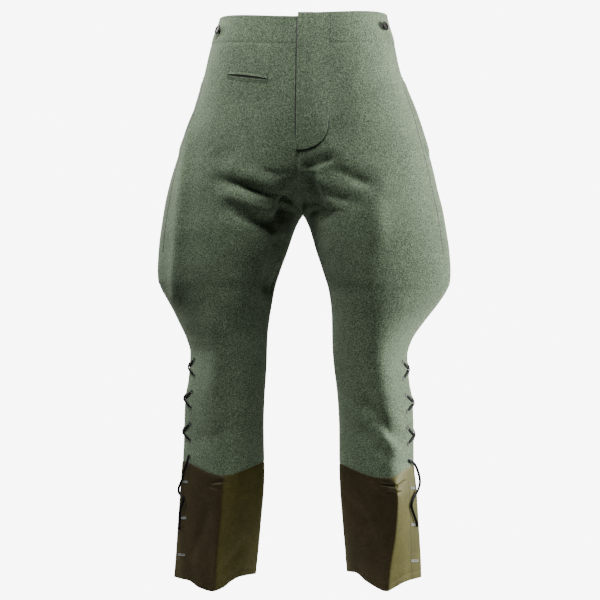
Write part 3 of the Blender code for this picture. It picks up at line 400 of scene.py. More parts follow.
class HalfGarment:
    """The base surface of one half, as rings from the centre front to the back."""

    def __init__(self, side):
        self.levels = np.arange(SECTIONS[-1].z, SECTIONS[0].z, LEVEL_STEP)
        z = self.levels
        column = {name: smooth(SECTIONS, name, z) for name in Section._fields}
        above = z >= FORK_Z
        inseam_x, inseam_y = smooth(INSEAM, "x", z), smooth(INSEAM, "y", z)
        end_x = np.where(above, 0, inseam_x)
        front_end = np.where(above, smooth(CENTRE_SEAM, "front_y", z), inseam_y)
        back_end = np.where(above, smooth(CENTRE_SEAM, "back_y", z), inseam_y)
        out_x, out_y = column["out_x"], column["out_y"]
        halves = []
        for end_y, tip, sign in ((front_end, "front", 1), (back_end, "back", -1)):
            tip_x, tip_y = column[f"{tip}_x"], column[f"{tip}_y"]
            inner = quarter(end_x, end_y, tip_x, tip_y, column[f"in_{tip}_power"])
            outer = quarter(out_x, out_y, tip_x, tip_y, column[f"out_{tip}_power"])
            curve = np.concatenate([inner, outer[:, -2::-1]], axis=1)
            lean = {name: smooth(LEANS[side], name, z)[:, None] for name in Lean._fields}
            share = (curve[..., 0] - end_x[:, None]) / (out_x - end_x)[:, None]
            forward = np.clip(curve[..., 1] / column["front_y"][:, None], 0, 1) ** 2
            shift = lean["inner"] + (lean["outer"] - lean["inner"]) * share
            curve[..., 0] += side * (shift + lean["crease"] * forward)
            halves.append(evenly(curve[:, ::sign]))
        (front, self.front_length), (back, self.back_length) = halves
        front = self.softened(front, self.front_length)
        flat = np.concatenate([front, back[:, 1:]], axis=1)
        heights = np.repeat(z[:, None], flat.shape[1], axis=1)
        self.ring = np.concatenate([flat, heights[:, :, None]], axis=2)
        self.normal = self.outward(above)

    def softened(self, curve, lengths):
        """The front with its crease rounded where it is wool, and kept on the cuffs."""
        share = np.linspace(0, 1, RING_SAMPLES)
        wool = smoothstep((self.levels - ROUNDING_BOTTOM_Z) / ROUNDING_FADE)
        out = curve.copy()
        for i, (row, length, amount) in enumerate(zip(curve, lengths, wool)):
            radius = (CREASE_ROUNDING * amount + CUFF_CREASE_ROUNDING * (1 - amount)) / length
            reach = int(3 * radius * RING_SAMPLES) + 1
            taps = np.exp(-((np.arange(-reach, reach + 1) / (RING_SAMPLES - 1) / radius) ** 2))
            taps /= taps.sum()
            keep = smoothstep(np.minimum(share, 1 - share) * length / ROUNDING_END_FADE)
            for axis in (0, 1):
                padded = np.pad(row[:, axis], reach, mode="edge")
                blurred = np.convolve(padded, taps, mode="valid")
                out[i, :, axis] += (blurred - row[:, axis]) * keep
        return out

    def outward(self, above):
        ring = self.ring
        before = np.roll(ring, 1, axis=1)
        after = np.roll(ring, -1, axis=1)
        mirror = np.array([-1, 1, 1])
        before[:, 0] = np.where(above[:, None], ring[:, 1] * mirror, ring[:, -2])
        after[:, -1] = np.where(above[:, None], ring[:, -2] * mirror, ring[:, 1])
        around = after - before
        up = np.gradient(ring, axis=0)
        return unit(np.cross(around, up))

    def sample(self, grid, u, z):
        row = np.clip((z - self.levels[0]) / LEVEL_STEP, 0, len(self.levels) - 1.001)
        col = np.clip(u * (RING_SAMPLES - 1), 0, grid.shape[1] - 1.001)
        i, j = row.astype(int), col.astype(int)
        a, b = (row - i)[..., None], (col - j)[..., None]
        low = grid[i, j] * (1 - b) + grid[i, j + 1] * b
        high = grid[i + 1, j] * (1 - b) + grid[i + 1, j + 1] * b
        return low * (1 - a) + high * a

    def length(self, face, z):
        lengths = self.front_length if face == "front" else self.back_length
        return np.interp(z, self.levels, lengths)

    def u_at_x(self, x, z):
        row = self.ring[int((z - self.levels[0]) / LEVEL_STEP), :RING_SAMPLES]
        return float(np.interp(x, row[:, 0], np.linspace(0, 1, RING_SAMPLES)))


HALVES = {side: HalfGarment(side) for side in (-1, 1)}


def creases(side, x, z, on_front):
    """The finer creases: each follows its own path and fades out at both ends."""
    total = np.zeros(x.shape)
    for crease in CREASES:
        if crease.side != side:
            continue
        path = np.array(crease.path)
        spans = np.diff(path, axis=0)
        lengths = np.linalg.norm(spans, axis=1)
        before = np.concatenate([[0], np.cumsum(lengths)])
        nearest = np.full(x.shape, np.inf)
        place = np.zeros(x.shape)
        for start, span, length, run in zip(path, spans, lengths, before):
            share, away = beside(x, z, start, span)
            closer = away < nearest
            nearest = np.where(closer, away, nearest)
            place = np.where(closer, (run + share * length) / before[-1], place)
        taper = smoothstep(0.15 + 4 * np.minimum(place, 1 - place))
        face = on_front if crease.face == "front" else ~on_front
        uneven = 1 + 0.25 * np.sin(9 * place + 40 * crease.width / abs(crease.depth))
        swell = crease.depth * uneven * bell(nearest, crease.width)
        total += np.where(face, swell * taper, 0)
    return total


def fork_recess(x, z, on_front):
    """The cloth drawn in between the legs, the same on both sides of the centre seam."""
    across = bell(x, FORK_RECESS_WIDTH)
    down = smoothstep((FORK_RECESS_TOP_Z - z) / FORK_RECESS_FADE)
    down = down * smoothstep((z - FORK_Z) / FORK_RECESS_END_FADE)
    return np.where(on_front, FORK_RECESS_DEPTH * across * down, 0)


def relief(points, side, u):
    """How far the folds lift or sink the cloth at these points of one side."""
    total = np.zeros(points.shape[:-1])
    x, z = points[..., 0] * side, points[..., 2]
    on_front = u <= 1
    for fold in FOLDS:
        if fold.x0 * side < 0:
            continue
        span = np.array([fold.x1 - fold.x0, fold.z1 - fold.z0])
        _, away = beside(x, z, (fold.x0, fold.z0), span)
        face = on_front if fold.face == "front" else ~on_front
        total += np.where(face, fold.depth * bell(away, fold.width), 0)
    half = HALVES[side]
    length = np.where(on_front, half.length("front", z), half.length("back", z))
    to_seam = np.minimum(u % 1, 1 - u % 1) * length
    total *= smoothstep(to_seam / FOLD_SEAM_FADE)
    total += creases(side, x, z, on_front) * smoothstep(to_seam / CREASE_SEAM_FADE)
    total += fork_recess(x, z, on_front)
    return total * smoothstep((z - CUFF_SEAM_Z - CUFF_SEAM_DIP / 2) / CUFF_SEAM_FADE)


def shell(side, u, z, height):
    """Points that stand height off the outer face of the cloth on one side."""
    u, z = np.broadcast_arrays(np.asarray(u, float), np.asarray(z, float))
    half = HALVES[side]
    base = half.sample(half.ring, u, z)
    normal = unit(half.sample(half.normal, u, z))
    lift = relief(base, side, u) + height
    points = base + normal * np.asarray(lift)[..., None]
    points[..., 0] = np.maximum(points[..., 0], SEAM_GAP / 2)
    return points * np.array([side, 1, 1])


def off_seam(side, arc, z):
    """The place u at arc behind the outer seam, or in front of it where arc is below 0."""
    half = HALVES[side]
    return 1 + arc / np.where(np.less(arc, 0), half.length("front", z), half.length("back", z))


def across_centre(arc, z, height, face="front"):
    """Points on the front or the back, arc to the wearer's left of the centre line."""
    points = {}
    for side in (-1, 1):
        u = np.abs(arc) / HALVES[side].length(face, z)
        points[side] = shell(side, u if face == "front" else 2 - u, z, height)
    return np.where((np.asarray(arc) >= 0)[..., None], points[1], points[-1])


def side_rise(u):
    return SIDE_RISE * smoothstep(u)


def cuff_seam_z(u):
    return CUFF_SEAM_Z - CUFF_SEAM_DIP * np.sin(math.pi * u) ** 2 * np.where(u <= 1, 1, 0.4)


def hem_z(side, u):
    return smooth(HEMS[side], "z", u, "round")


def side_name(side):
    return "left" if side > 0 else "right"


# Meshes

def make(name, bm, finish, node=None):
    """A smooth piece of one finish, which may stand in for a solid."""
    bmesh.ops.recalc_face_normals(bm, faces=bm.faces)
    mesh = bpy.data.meshes.new(name)
    bm.to_mesh(mesh)
    bm.free()
    mesh.materials.append(finish.material)
    mesh.shade_smooth()
    mesh.set_sharp_from_angle(angle=math.radians(50))
    made = bpy.data.objects.new(name, mesh)
    bpy.context.scene.collection.objects.link(made)
    if node:
        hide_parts(node)
    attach(made, "root")
    return made


def loft(bm, rings):
    """Faces between neighbouring rings of vertices."""
    for low, high in zip(rings, rings[1:]):
        for k in range(len(low)):
            m = (k + 1) % len(low)
            bm.faces.new((low[k], low[m], high[m], high[k]))


def wall(name, outer, inner, finish, node=None):
    """A closed cloth wall between two grids of points."""
    bm = bmesh.new()
    rows, cols = outer.shape[:2]
    out, back = [
        [[bm.verts.new(p) for p in row] for row in grid] for grid in (outer, inner)
    ]
    for i in range(rows - 1):
        for j in range(cols - 1):
            bm.faces.new((out[i][j], out[i][j + 1], out[i + 1][j + 1], out[i + 1][j]))
            bm.faces.new((back[i][j], back[i + 1][j], back[i + 1][j + 1], back[i][j + 1]))
    edge = [(0, j) for j in range(cols)]
    edge += [(i, cols - 1) for i in range(1, rows)]
    edge += [(rows - 1, j) for j in range(cols - 2, -1, -1)]
    edge += [(i, 0) for i in range(rows - 2, 0, -1)]
    for (i, j), (k, m) in zip(edge, edge[1:] + edge[:1]):
        bm.faces.new((out[i][j], back[i][j], back[k][m], out[k][m]))
    return make(name, bm, finish, node)


# Materials

def nodes_of(name):
    made = bpy.data.materials.new(name)
    made.use_nodes = True
    tree = made.node_tree
    return made, tree, tree.nodes["Principled BSDF"]


def set_sockets(node, values):
    for name, value in values.items():
        node.inputs[name].default_value = value


def noise(tree, scale, detail=2.0, roughness=0.5, vector=None):
    node = tree.nodes.new("ShaderNodeTexNoise")
    set_sockets(node, {"Scale": scale, "Detail": detail, "Roughness": roughness})
    if vector is not None:
        tree.links.new(vector, node.inputs["Vector"])
    return node.outputs["Fac"]


def ramp(tree, value, *stops):
    node = tree.nodes.new("ShaderNodeValToRGB")
    elements = node.color_ramp.elements
    while len(elements) < len(stops):
        elements.new(0.5)
    for element, (position, colour) in zip(elements, stops):
        element.position = position
        element.color = (*colour, 1)
    tree.links.new(value, node.inputs["Fac"])
    return node.outputs["Color"]


def mix(tree, factor, a, b, blend="MIX"):
    node = tree.nodes.new("ShaderNodeMix")
    node.data_type = "RGBA"
    node.blend_type = blend
    for socket, value in ((node.inputs[0], factor), (node.inputs[6], a), (node.inputs[7], b)):
        if isinstance(value, (int, float)):
            socket.default_value = value
        elif isinstance(value, tuple):
            socket.default_value = (*value, 1)
        else:
            tree.links.new(value, socket)
    return node.outputs[2]


def bump(tree, shader, *layers):
    last = None
    for height, strength, distance in layers:
        node = tree.nodes.new("ShaderNodeBump")
        set_sockets(node, {"Strength": strength, "Distance": distance})
        tree.links.new(height, node.inputs["Height"])
        if last is not None:
            tree.links.new(last, node.inputs["Normal"])
        last = node.outputs["Normal"]
    tree.links.new(last, shader.inputs["Normal"])


def position(tree, scale=(1, 1, 1)):
    coordinates = tree.nodes.new("ShaderNodeTexCoord")
    mapping = tree.nodes.new("ShaderNodeMapping")
    mapping.inputs["Scale"].default_value = scale
    tree.links.new(coordinates.outputs["Object"], mapping.inputs["Vector"])
    return mapping.outputs["Vector"]


def wool_material():
    """Milled grey-green melange: light and dark fibres under a short nap."""
    made, tree, shader = nodes_of("wool")
    place = position(tree)
    melange = noise(tree, 540, 4.0, 0.75, place)
    flecks = noise(tree, 1100, 1.0, 0.5, place)
    patches = noise(tree, 14, 3.0, 0.55, place)
    colour = ramp(
        tree, melange,
        (0.37, (0.018, 0.030, 0.017)), (0.50, (0.088, 0.127, 0.075)),
        (0.63, (0.255, 0.318, 0.218)),
    )
    light = ramp(tree, flecks, (0.60, (0, 0, 0)), (0.74, (1, 1, 1)))
    colour = mix(tree, light, colour, (0.23, 0.28, 0.19))
    tone = ramp(tree, patches, (0.30, (0.86, 0.86, 0.86)), (0.70, (1.08, 1.08, 1.06)))
    colour = mix(tree, 1.0, colour, tone, "MULTIPLY")
    tree.links.new(colour, shader.inputs["Base Color"])
    set_sockets(shader, {
        "Roughness": 0.95, "Specular IOR Level": 0.15,
        "Sheen Weight": 0.25, "Sheen Roughness": 0.55, "Sheen Tint": (0.75, 0.88, 0.69, 1),
    })
    felt = noise(tree, 650, 4.0, 0.7, place)
    soft = noise(tree, 60, 2.0, 0.5, place)
    bump(tree, shader, (felt, 0.55, 0.0009), (soft, 0.35, 0.0020))
    return made


def facing(tree):
    """How far the cloth faces the wearer's left, from 0 to 1: partly a shot weave's change of
    hue, partly painted light on the side that faces the lamp.
    """
    coordinates = tree.nodes.new("ShaderNodeTexCoord")
    split = tree.nodes.new("ShaderNodeSeparateXYZ")
    tree.links.new(coordinates.outputs["Normal"], split.inputs["Vector"])
    spread = tree.nodes.new("ShaderNodeMapRange")
    set_sockets(spread, {"From Min": -0.25, "From Max": 0.35})
    tree.links.new(split.outputs["X"], spread.inputs["Value"])
    return spread.outputs["Result"]


def cotton_material():
    """Shot satin: darker brown one way, lighter olive the other, partly a real shot weave and
    partly painted light and shade by which way the cloth faces; with fine ribs and slubs.
    """
    made, tree, shader = nodes_of("cotton")
    across = noise(tree, 75, 3.0, 0.65, position(tree, (1, 1, 20)))
    along = noise(tree, 75, 3.0, 0.65, position(tree, (14, 14, 1)))
    cloud = noise(tree, 18, 3.0, 0.6, position(tree))
    thread = mix(tree, 0.5, across, along)
    brown_shaded_side = ramp(tree, thread, (0.36, (0.0230, 0.0167, 0.0086)), (0.64, (0.0587, 0.0431, 0.0242)))
    olive_lit_side = ramp(tree, thread, (0.36, (0.0355, 0.0312, 0.0085)), (0.64, (0.0880, 0.0812, 0.0215)))
    # Painted shade on the side facing the wearer's right, painted light on the side facing the
    # wearer's left, over the shot weave's change of hue
    colour = mix(tree, facing(tree), brown_shaded_side, olive_lit_side)
    tone = ramp(tree, cloud, (0.30, (0.80, 0.80, 0.80)), (0.70, (1.16, 1.15, 1.08)))
    tree.links.new(mix(tree, 1.0, colour, tone, "MULTIPLY"), shader.inputs["Base Color"])
    set_sockets(shader, {
        "Roughness": 0.58, "Specular IOR Level": 0.32, "Specular Tint": (0.98, 0.97, 0.55, 1),
        "Anisotropic": 0.4,
        "Sheen Weight": 0.22, "Sheen Roughness": 0.35, "Sheen Tint": (0.72, 0.72, 0.36, 1),
    })
    bump(tree, shader, (thread, 0.5, 0.0004), (cloud, 0.35, 0.0020))
    return made


def lace_material():
    made, tree, shader = nodes_of("lace")
    braid = noise(tree, 900, 2.0, 0.6, position(tree, (1, 1, 0.4)))
    colour = ramp(tree, braid, (0.35, (0.002, 0.002, 0.002)), (0.70, (0.008, 0.008, 0.008)))
    tree.links.new(colour, shader.inputs["Base Color"])
    set_sockets(shader, {"Roughness": 0.8, "Specular IOR Level": 0.2})
    bump(tree, shader, (braid, 0.5, 0.0004))
    return made


def button_material():
    made, tree, shader = nodes_of("button")
    wear = noise(tree, 350, 3.0, 0.6, position(tree))
    colour = ramp(
        tree, wear,
        (0.40, (0.010, 0.009, 0.008)), (0.62, (0.030, 0.027, 0.023)),
        (0.80, (0.075, 0.070, 0.062)),
    )
    tree.links.new(colour, shader.inputs["Base Color"])
    rough = ramp(tree, wear, (0.4, (0.42, 0.42, 0.42)), (0.7, (0.62, 0.62, 0.62)))
    tree.links.new(rough, shader.inputs["Roughness"])
    set_sockets(shader, {"Metallic": 0.2, "Specular IOR Level": 0.25})
    bump(tree, shader, (wear, 0.2, 0.0003))
    return made


def thread_material(name, dark, light):
    made, tree, shader = nodes_of(name)
    twist = noise(tree, 1500, 1.0, 0.5, position(tree))
    tree.links.new(ramp(tree, twist, (0.35, dark), (0.65, light)), shader.inputs["Base Color"])
    shader.inputs["Roughness"].default_value = 0.6
    bump(tree, shader, (twist, 0.4, 0.0002))
    return made


Finish = namedtuple("Finish", "material slot")
WOOL_FINISH = Finish(wool_material(), "wool")
COTTON_FINISH = Finish(cotton_material(), "cotton")
LACE_FINISH = Finish(lace_material(), "lace")
BUTTON_FINISH = Finish(button_material(), "button")
WOOL_THREAD, PAINTED_SHADE_FINISH, DARK_THREAD_AND_SHADE, PALE_THREAD, COTTON_THREAD = [
    Finish(thread_material(name, dark, light), slot)
    for name, slot, dark, light in (
        ("wool_thread", "wool", (0.050, 0.062, 0.045), (0.13, 0.15, 0.11)),
        # Near-black: painted shade for gaps and mouths that lie in shadow, not the colour of a
        # cloth
        ("painted_shade_lining", "wool", (0.003, 0.003, 0.003), (0.008, 0.009, 0.007)),
        # Near-black thread; along the fly's curved end and the welts' outer edges it also paints
        # shade
        ("dark_thread_and_shade", "wool", (0.008, 0.010, 0.007), (0.030, 0.036, 0.026)),
        ("pale_thread", "cotton", (0.22, 0.25, 0.25), (0.46, 0.50, 0.50)),
        ("cotton_thread", "cotton", (0.030, 0.027, 0.014), (0.085, 0.078, 0.042)),
    )
]


# Camera first, then the free cords

PIXEL = 0.0018
IMAGE_WIDTH = 600
SENSOR_WIDTH = 36
CAMERA_DISTANCE = 2.80
CAMERA_TURN = math.radians(4.5)
CAMERA_ROLL = math.radians(0.6)
CAMERA_AIM = Vector((-0.0027, 0.0, -0.468))


def make_camera():
    data = bpy.data.cameras.new("camera")
    data.sensor_width = SENSOR_WIDTH
    data.lens = SENSOR_WIDTH * CAMERA_DISTANCE / (IMAGE_WIDTH * PIXEL)
    camera = bpy.data.objects.new("camera", data)
    bpy.context.scene.collection.objects.link(camera)
    back = Vector((math.sin(CAMERA_TURN), -math.cos(CAMERA_TURN), 0))
    camera.location = CAMERA_AIM + back * CAMERA_DISTANCE
    turn = (-back).to_track_quat("-Z", "Y").to_matrix()
    camera.rotation_euler = (turn @ Matrix.Rotation(CAMERA_ROLL, 3, "Z")).to_euler()
    bpy.context.scene.camera = camera


make_camera()


LaceEnd = namedtuple("LaceEnd", "round z off")
FRONT_LACE_END = {
    -1: table_of(
        LaceEnd,
        (0.0000, -0.7500, 0.0020), (0.0020, -0.7630, 0.0026),
        (0.0080, -0.7770, 0.0028), (0.0120, -0.7930, 0.0030),
        (0.0210, -0.8075, 0.0034), (0.0190, -0.8180, 0.0034),
        (0.0050, -0.8245, 0.0030), (0.0055, -0.8345, 0.0028),
        (0.0115, -0.8480, 0.0028), (0.0110, -0.8680, 0.0028),
        (0.0088, -0.8840, 0.0028),
    ),
    1: table_of(
        LaceEnd,
        (0.0000, -0.7500, 0.0020), (0.0140, -0.7560, 0.0034),
        (0.0225, -0.7665, 0.0047), (0.0230, -0.7810, 0.0073),
        (0.0228, -0.7935, 0.0068), (0.0170, -0.8060, 0.0040),
        (0.0000, -0.8190, 0.0030), (-0.0060, -0.8290, 0.0028),
        (-0.0030, -0.8380, 0.0028), (0.0020, -0.8460, 0.0028),
        (0.0100, -0.8600, 0.0028), (0.0120, -0.8690, 0.0028),
    ),
}
BACK_LACE_END = table_of(
    LaceEnd,
    (0.0460, -0.7505, 0.0020), (0.0500, -0.7680, 0.0026),
    (0.0560, -0.7860, 0.0036), (0.0540, -0.8050, 0.0034),
    (0.0580, -0.8240, 0.0030), (0.0600, -0.8420, 0.0030),
    (0.0590, -0.8600, 0.0030),
)


def off_leg(side, around, z, height):
    """A point off the leg, around from the front edge of the lacing, backwards."""
    return shell(side, off_seam(side, around - EYELET_INSET, z), z, height)


def smooth_route(points):
    """A smooth curve through the points, cut into even steps."""
    points = np.array(points)
    ends = np.concatenate([[2 * points[0] - points[1]], points, [2 * points[-1] - points[-2]]])
    route = []
    for p0, p1, p2, p3 in zip(ends, ends[1:], ends[2:], ends[3:]):
        for t in np.linspace(0, 1, 12, endpoint=False):
            route.append(
                0.5 * (2 * p1 + (p2 - p0) * t + (2 * p0 - 5 * p1 + 4 * p2 - p3) * t**2
                       + (3 * p1 - p0 - 3 * p2 + p3) * t**3)
            )
    route = np.array([*route, points[-1]])
    run = np.concatenate([[0], np.cumsum(np.linalg.norm(np.diff(route, axis=0), axis=1))])
    wanted = np.linspace(0, run[-1], max(2, round(run[-1] / LACE_STEP) + 1))
    return np.stack([np.interp(wanted, run, route[:, k]) for k in range(3)], axis=1)


def ribbon(node, route, normals):
    """A flat woven lace along a route, with rounded edges and closed ends."""
    along = unit(np.gradient(route, axis=0))
    across = unit(np.cross(along, normals))
    upright = np.cross(across, along)
    bm = bmesh.new()
    rings = []
    for point, a, n in zip(route, across, upright):
        rings.append([
            bm.verts.new(point + a * (x * LACE_WIDTH) + n * (y * LACE_THICKNESS))
            for x, y in LACE_OUTLINE
        ])
    loft(bm, rings)
    bm.faces.new(rings[0][::-1])
    bm.faces.new(rings[-1])
    return make(f"{node}_flat", bm, LACE_FINISH, node)


def lace_end(side, edge, rows):
    """A free end, which turns and twists a little as it hangs."""
    route, raised = [
        smooth_route([off_leg(side, row.round, row.z, row.off + lift) for row in rows])
        for lift in (0, 0.01)
    ]
    spots = np.linspace(0, 1, len(route))
    raised = np.stack(
        [np.interp(spots, np.linspace(0, 1, len(raised)), raised[:, k]) for k in range(3)], axis=1
    )
    normals = unit(raised - route)
    if edge == "front":
        loose = smoothstep(spots * 5)[:, None]
        normals = normals * (1 - 0.8 * loose) + np.array([0, -1, 0]) * loose
    along = unit(np.gradient(route, axis=0))
    normals = unit(normals - along * (normals * along).sum(axis=1)[:, None])
    twist = 0.35 * np.sin(spots * 9.0 + side) * smoothstep(spots * 4)
    sideways = np.cross(along, normals)
    turned = normals * np.cos(twist)[:, None] + sideways * np.sin(twist)[:, None]
    piece = ribbon(f"lace_{edge}_end_{side_name(side)}", route, turned)


for side in (-1, 1):
    lace_end(side, "front", FRONT_LACE_END[side])
    lace_end(side, "back", BACK_LACE_END)


# Wool pieces

def fine_rows():
    rows = np.array(PANEL_ROWS)
    steps = np.arange(len(rows))
    return np.interp(np.linspace(0, len(rows) - 1, (len(rows) - 1) * ROW_SPLIT + 1), steps, rows)


def edge_roll(distance, radius):
    """From 0 on an edge to 1 where the cloth is flat again, as a quarter circle."""
    share = np.clip(distance / radius, 0, 1)
    return np.sqrt(1 - (1 - share) ** 2)


def clustered(width, count, radius):
    """Distances across a piece, closer together near both edges."""
    near = np.array([0, 0.12, 0.35, 0.7, 1.1]) * radius
    middle = np.linspace(near[-1], width - near[-1], count)[1:-1]
    return np.concatenate([near, middle, (width - near)[::-1]])


def leg_panel(side, face):
    half = HALVES[side]
    rows = fine_rows()
    rows[0] -= SEAM_GAP / 2
    length = half.length(face, rows)[:, None]
    share = clustered(1.0, PANEL_COLUMNS, 0.008)
    inset = SEAM_GAP / 2 / length
    start = 0 if face == "front" else 1
    u = start + inset + (1 - 2 * inset) * share
    z = np.repeat(rows[:, None], len(share), axis=1)
    bottom = cuff_seam_z(u[-1]) + SEAM_GAP / 2
    low = smoothstep((FORK_Z - z) / (FORK_Z - CUFF_SEAM_Z))
    high = 1 - smoothstep((BAND_SEAM_Z - z) / SIDE_RISE_FADE)
    z = z + low * (bottom - CUFF_SEAM_Z)[None, :] + high * side_rise(u)
    to_side = np.minimum(u - start, 1 + start - u) * length
    to_end = np.minimum(z[0] - z, z - z[-1])
    groove = sunk(LEG_SEAM_GROOVE, to_side) + sunk(BAND_SEAM_GROOVE, to_end)
    outer, inner = shell(side, u, z, -groove), shell(side, u, z, -WOOL)
    node = f"{face}_{side_name(side)}"
    piece = wall(f"wool_{node}", outer, inner, WOOL_FINISH, node)
    float(half.length(face, -0.30)) + SEAM_ALLOWANCE


def waistband(side):
    top = LEFT_TOP_Z if side > 0 else RIGHT_TOP_Z
    low = BAND_SEAM_Z + SEAM_GAP / 2
    inset = SEAM_GAP / 2 / HALVES[side].length("front", 0)
    share = np.linspace(0, 1, 181)
    u = (inset + share * (2 - 2 * inset))[None, :]
    rows = (top - clustered(top - low, 18, BAND_EDGE))[:, None]
    z = rows + side_rise(u)
    u, z = np.broadcast_arrays(u, z)
    roll = edge_roll(top - rows, BAND_EDGE)
    seam = sunk(BAND_SEAM_GROOVE, rows - low)
    outer = shell(side, u, z, -WOOL / 2 * (1 - roll) - seam)
    inner = shell(side, u, z, -WOOL + WOOL / 2 * (1 - roll))
    name = f"waistband_{side_name(side)}"
    piece = wall(f"wool_{name}", outer, inner, WOOL_FINISH, name)
    around = float(HALVES[side].length("front", 0) + HALVES[side].length("back", 0))


def centre_back_allowance():
    """The pressed-open edges behind the centre back seam, inside the cloth."""
    z = np.linspace(ALLOWANCE_BOTTOM_Z, RIGHT_TOP_Z + SIDE_RISE - 0.0012, 110)[:, None]
    arc = np.linspace(-ALLOWANCE_WIDTH, ALLOWANCE_WIDTH, 21)[None, :]
    outer, inner = [across_centre(arc, z, -WOOL - depth, "back") for depth in (0.0002, 0.0012)]
    wall("seam_allowance_centre_back", outer, inner, WOOL_FINISH)


def fly_width(z):
    drop = np.clip((FLY_CURVE_Z - z) / (FLY_CURVE_Z - FLY_END_Z), 0, 1)
    return FLY_WIDTH * (1 - drop**FLY_CURVE_POWER) ** (1 / FLY_CURVE_POWER)


def fly_panel():
    straight = LEFT_TOP_Z - clustered(LEFT_TOP_Z - FLY_CURVE_Z, 50, 0.001)[:-4]
    turn = np.sin(np.linspace(0, math.pi / 2, 26)[1:]) * 0.9995
    rows = np.concatenate([straight, FLY_CURVE_Z + (FLY_END_Z - FLY_CURVE_Z) * turn])
    width = fly_width(rows)[:, None]
    share = clustered(1.0, 34, 0.025)[None, :]
    arc = -FLY_LAP + share * (width + FLY_LAP)
    z = np.repeat(rows[:, None], share.shape[1], axis=1)
    from_edge = np.minimum(np.minimum(arc + FLY_LAP, width - arc), LEFT_TOP_Z - z)
    roll = edge_roll(from_edge, FLY_EDGE)
    stitch = sunk(FLY_STITCH_GROOVE, arc + FLY_LAP - FLY_STITCH_INSET)
    # It stands off the front at its free edge and its end, and thins out to its sewn side
    low = 0.0002 + 0.0006 * smoothstep((z - FLY_END_Z) / 0.02)
    far = smoothstep((width - arc) / 0.034)
    end = smoothstep((FLY_CURVE_Z + 0.012 - z) / 0.030)
    thick = (WOOL + 0.0004) * (far + (1 - far) * (0.06 + 0.94 * end))
    low = low * (0.15 + 0.85 * far)
    outer = across_centre(arc, z, low + thick * roll - stitch)
    inner = across_centre(arc, z, low)
    piece = wall("wool_fly_panel", outer, inner, WOOL_FINISH, "fly_panel")


def watch_line(share):
    """The middle of the watch pocket's mouth, and how far it stands open there."""
    x = WELT_OUTER[0] + (WELT_INNER[0] - WELT_OUTER[0]) * share
    z = WELT_OUTER[1] + (WELT_INNER[1] - WELT_OUTER[1]) * share
    return x, z, WATCH_MOUTH * np.sin(math.pi * share) ** 0.6


def right_front(x, z):
    """The places u of points on the right front, each given by its x and z."""
    return np.array([HALVES[-1].u_at_x(-a, b) for a, b in zip(x, z)])


def watch_pocket():
    share = np.linspace(0, 1, 60)
    x, middle_z, mouth = watch_line(share)
    u = right_front(x, middle_z)
    # A near-black strip in the pocket's mouth between the welts: painted shade for the shadowed
    # inside of the pocket
    outer, inner = [
        np.array([
            shell(-1, u, middle_z + offset * (WATCH_MOUTH_LEAST + mouth), height)
            for offset in (1, 0.3, -0.3, -1)
        ])
        for height in (0.0003, 0.0)
    ]
    wall("watch_pocket_mouth_shade", outer, inner, PAINTED_SHADE_FINISH)
    for name, way in (("upper", 1), ("lower", -1)):
        grids = [[], []]
        for offset in clustered(WELT_HEIGHT, 8, 0.0009):
            z = middle_z + way * (WATCH_MOUTH_LEAST + mouth + offset)
            ends = np.minimum(share, 1 - share) * WELT_LENGTH
            roll = edge_roll(offset, WELT_EDGE) * edge_roll(ends, BAND_EDGE)
            flat = 1 - 0.8 * smoothstep(offset / WELT_HEIGHT)
            for grid, thick in zip(grids, (0.0016 * flat * roll, 0)):
                grid.append(shell(-1, right_front(x, z), z, LIE + thick))
        outer, inner = np.array(grids)
        node = f"watch_pocket_welt_{name}"
        wall(f"wool_{node}", outer, inner, WOOL_FINISH, node)


def side_pocket(side):
    z = np.linspace(POCKET_TOP_Z, POCKET_BOTTOM_Z, 90)
    across = clustered(POCKET_EDGE_WIDTH, 14, BAND_EDGE)
    u = off_seam(side, -(SEAM_GAP + across)[None, :], z[:, None])
    heights = np.repeat(z[:, None], len(across), axis=1)
    ends = np.minimum(POCKET_TOP_Z - heights, heights - POCKET_BOTTOM_Z)
    fade = smoothstep(ends / 0.012)
    flat = (1 - smoothstep(across / POCKET_EDGE_WIDTH))[None, :]
    roll = edge_roll(across, POCKET_EDGE)[None, :]
    low = 0.0001 + 0.0006 * flat * fade
    outer = shell(side, u, heights, low + 0.0001 + 0.0019 * flat * roll * fade)
    inner = shell(side, u, heights, low)
    node = f"side_pocket_edge_{side_name(side)}"
    piece = wall(f"wool_{node}", outer, inner, WOOL_FINISH, node)


# Cuffs

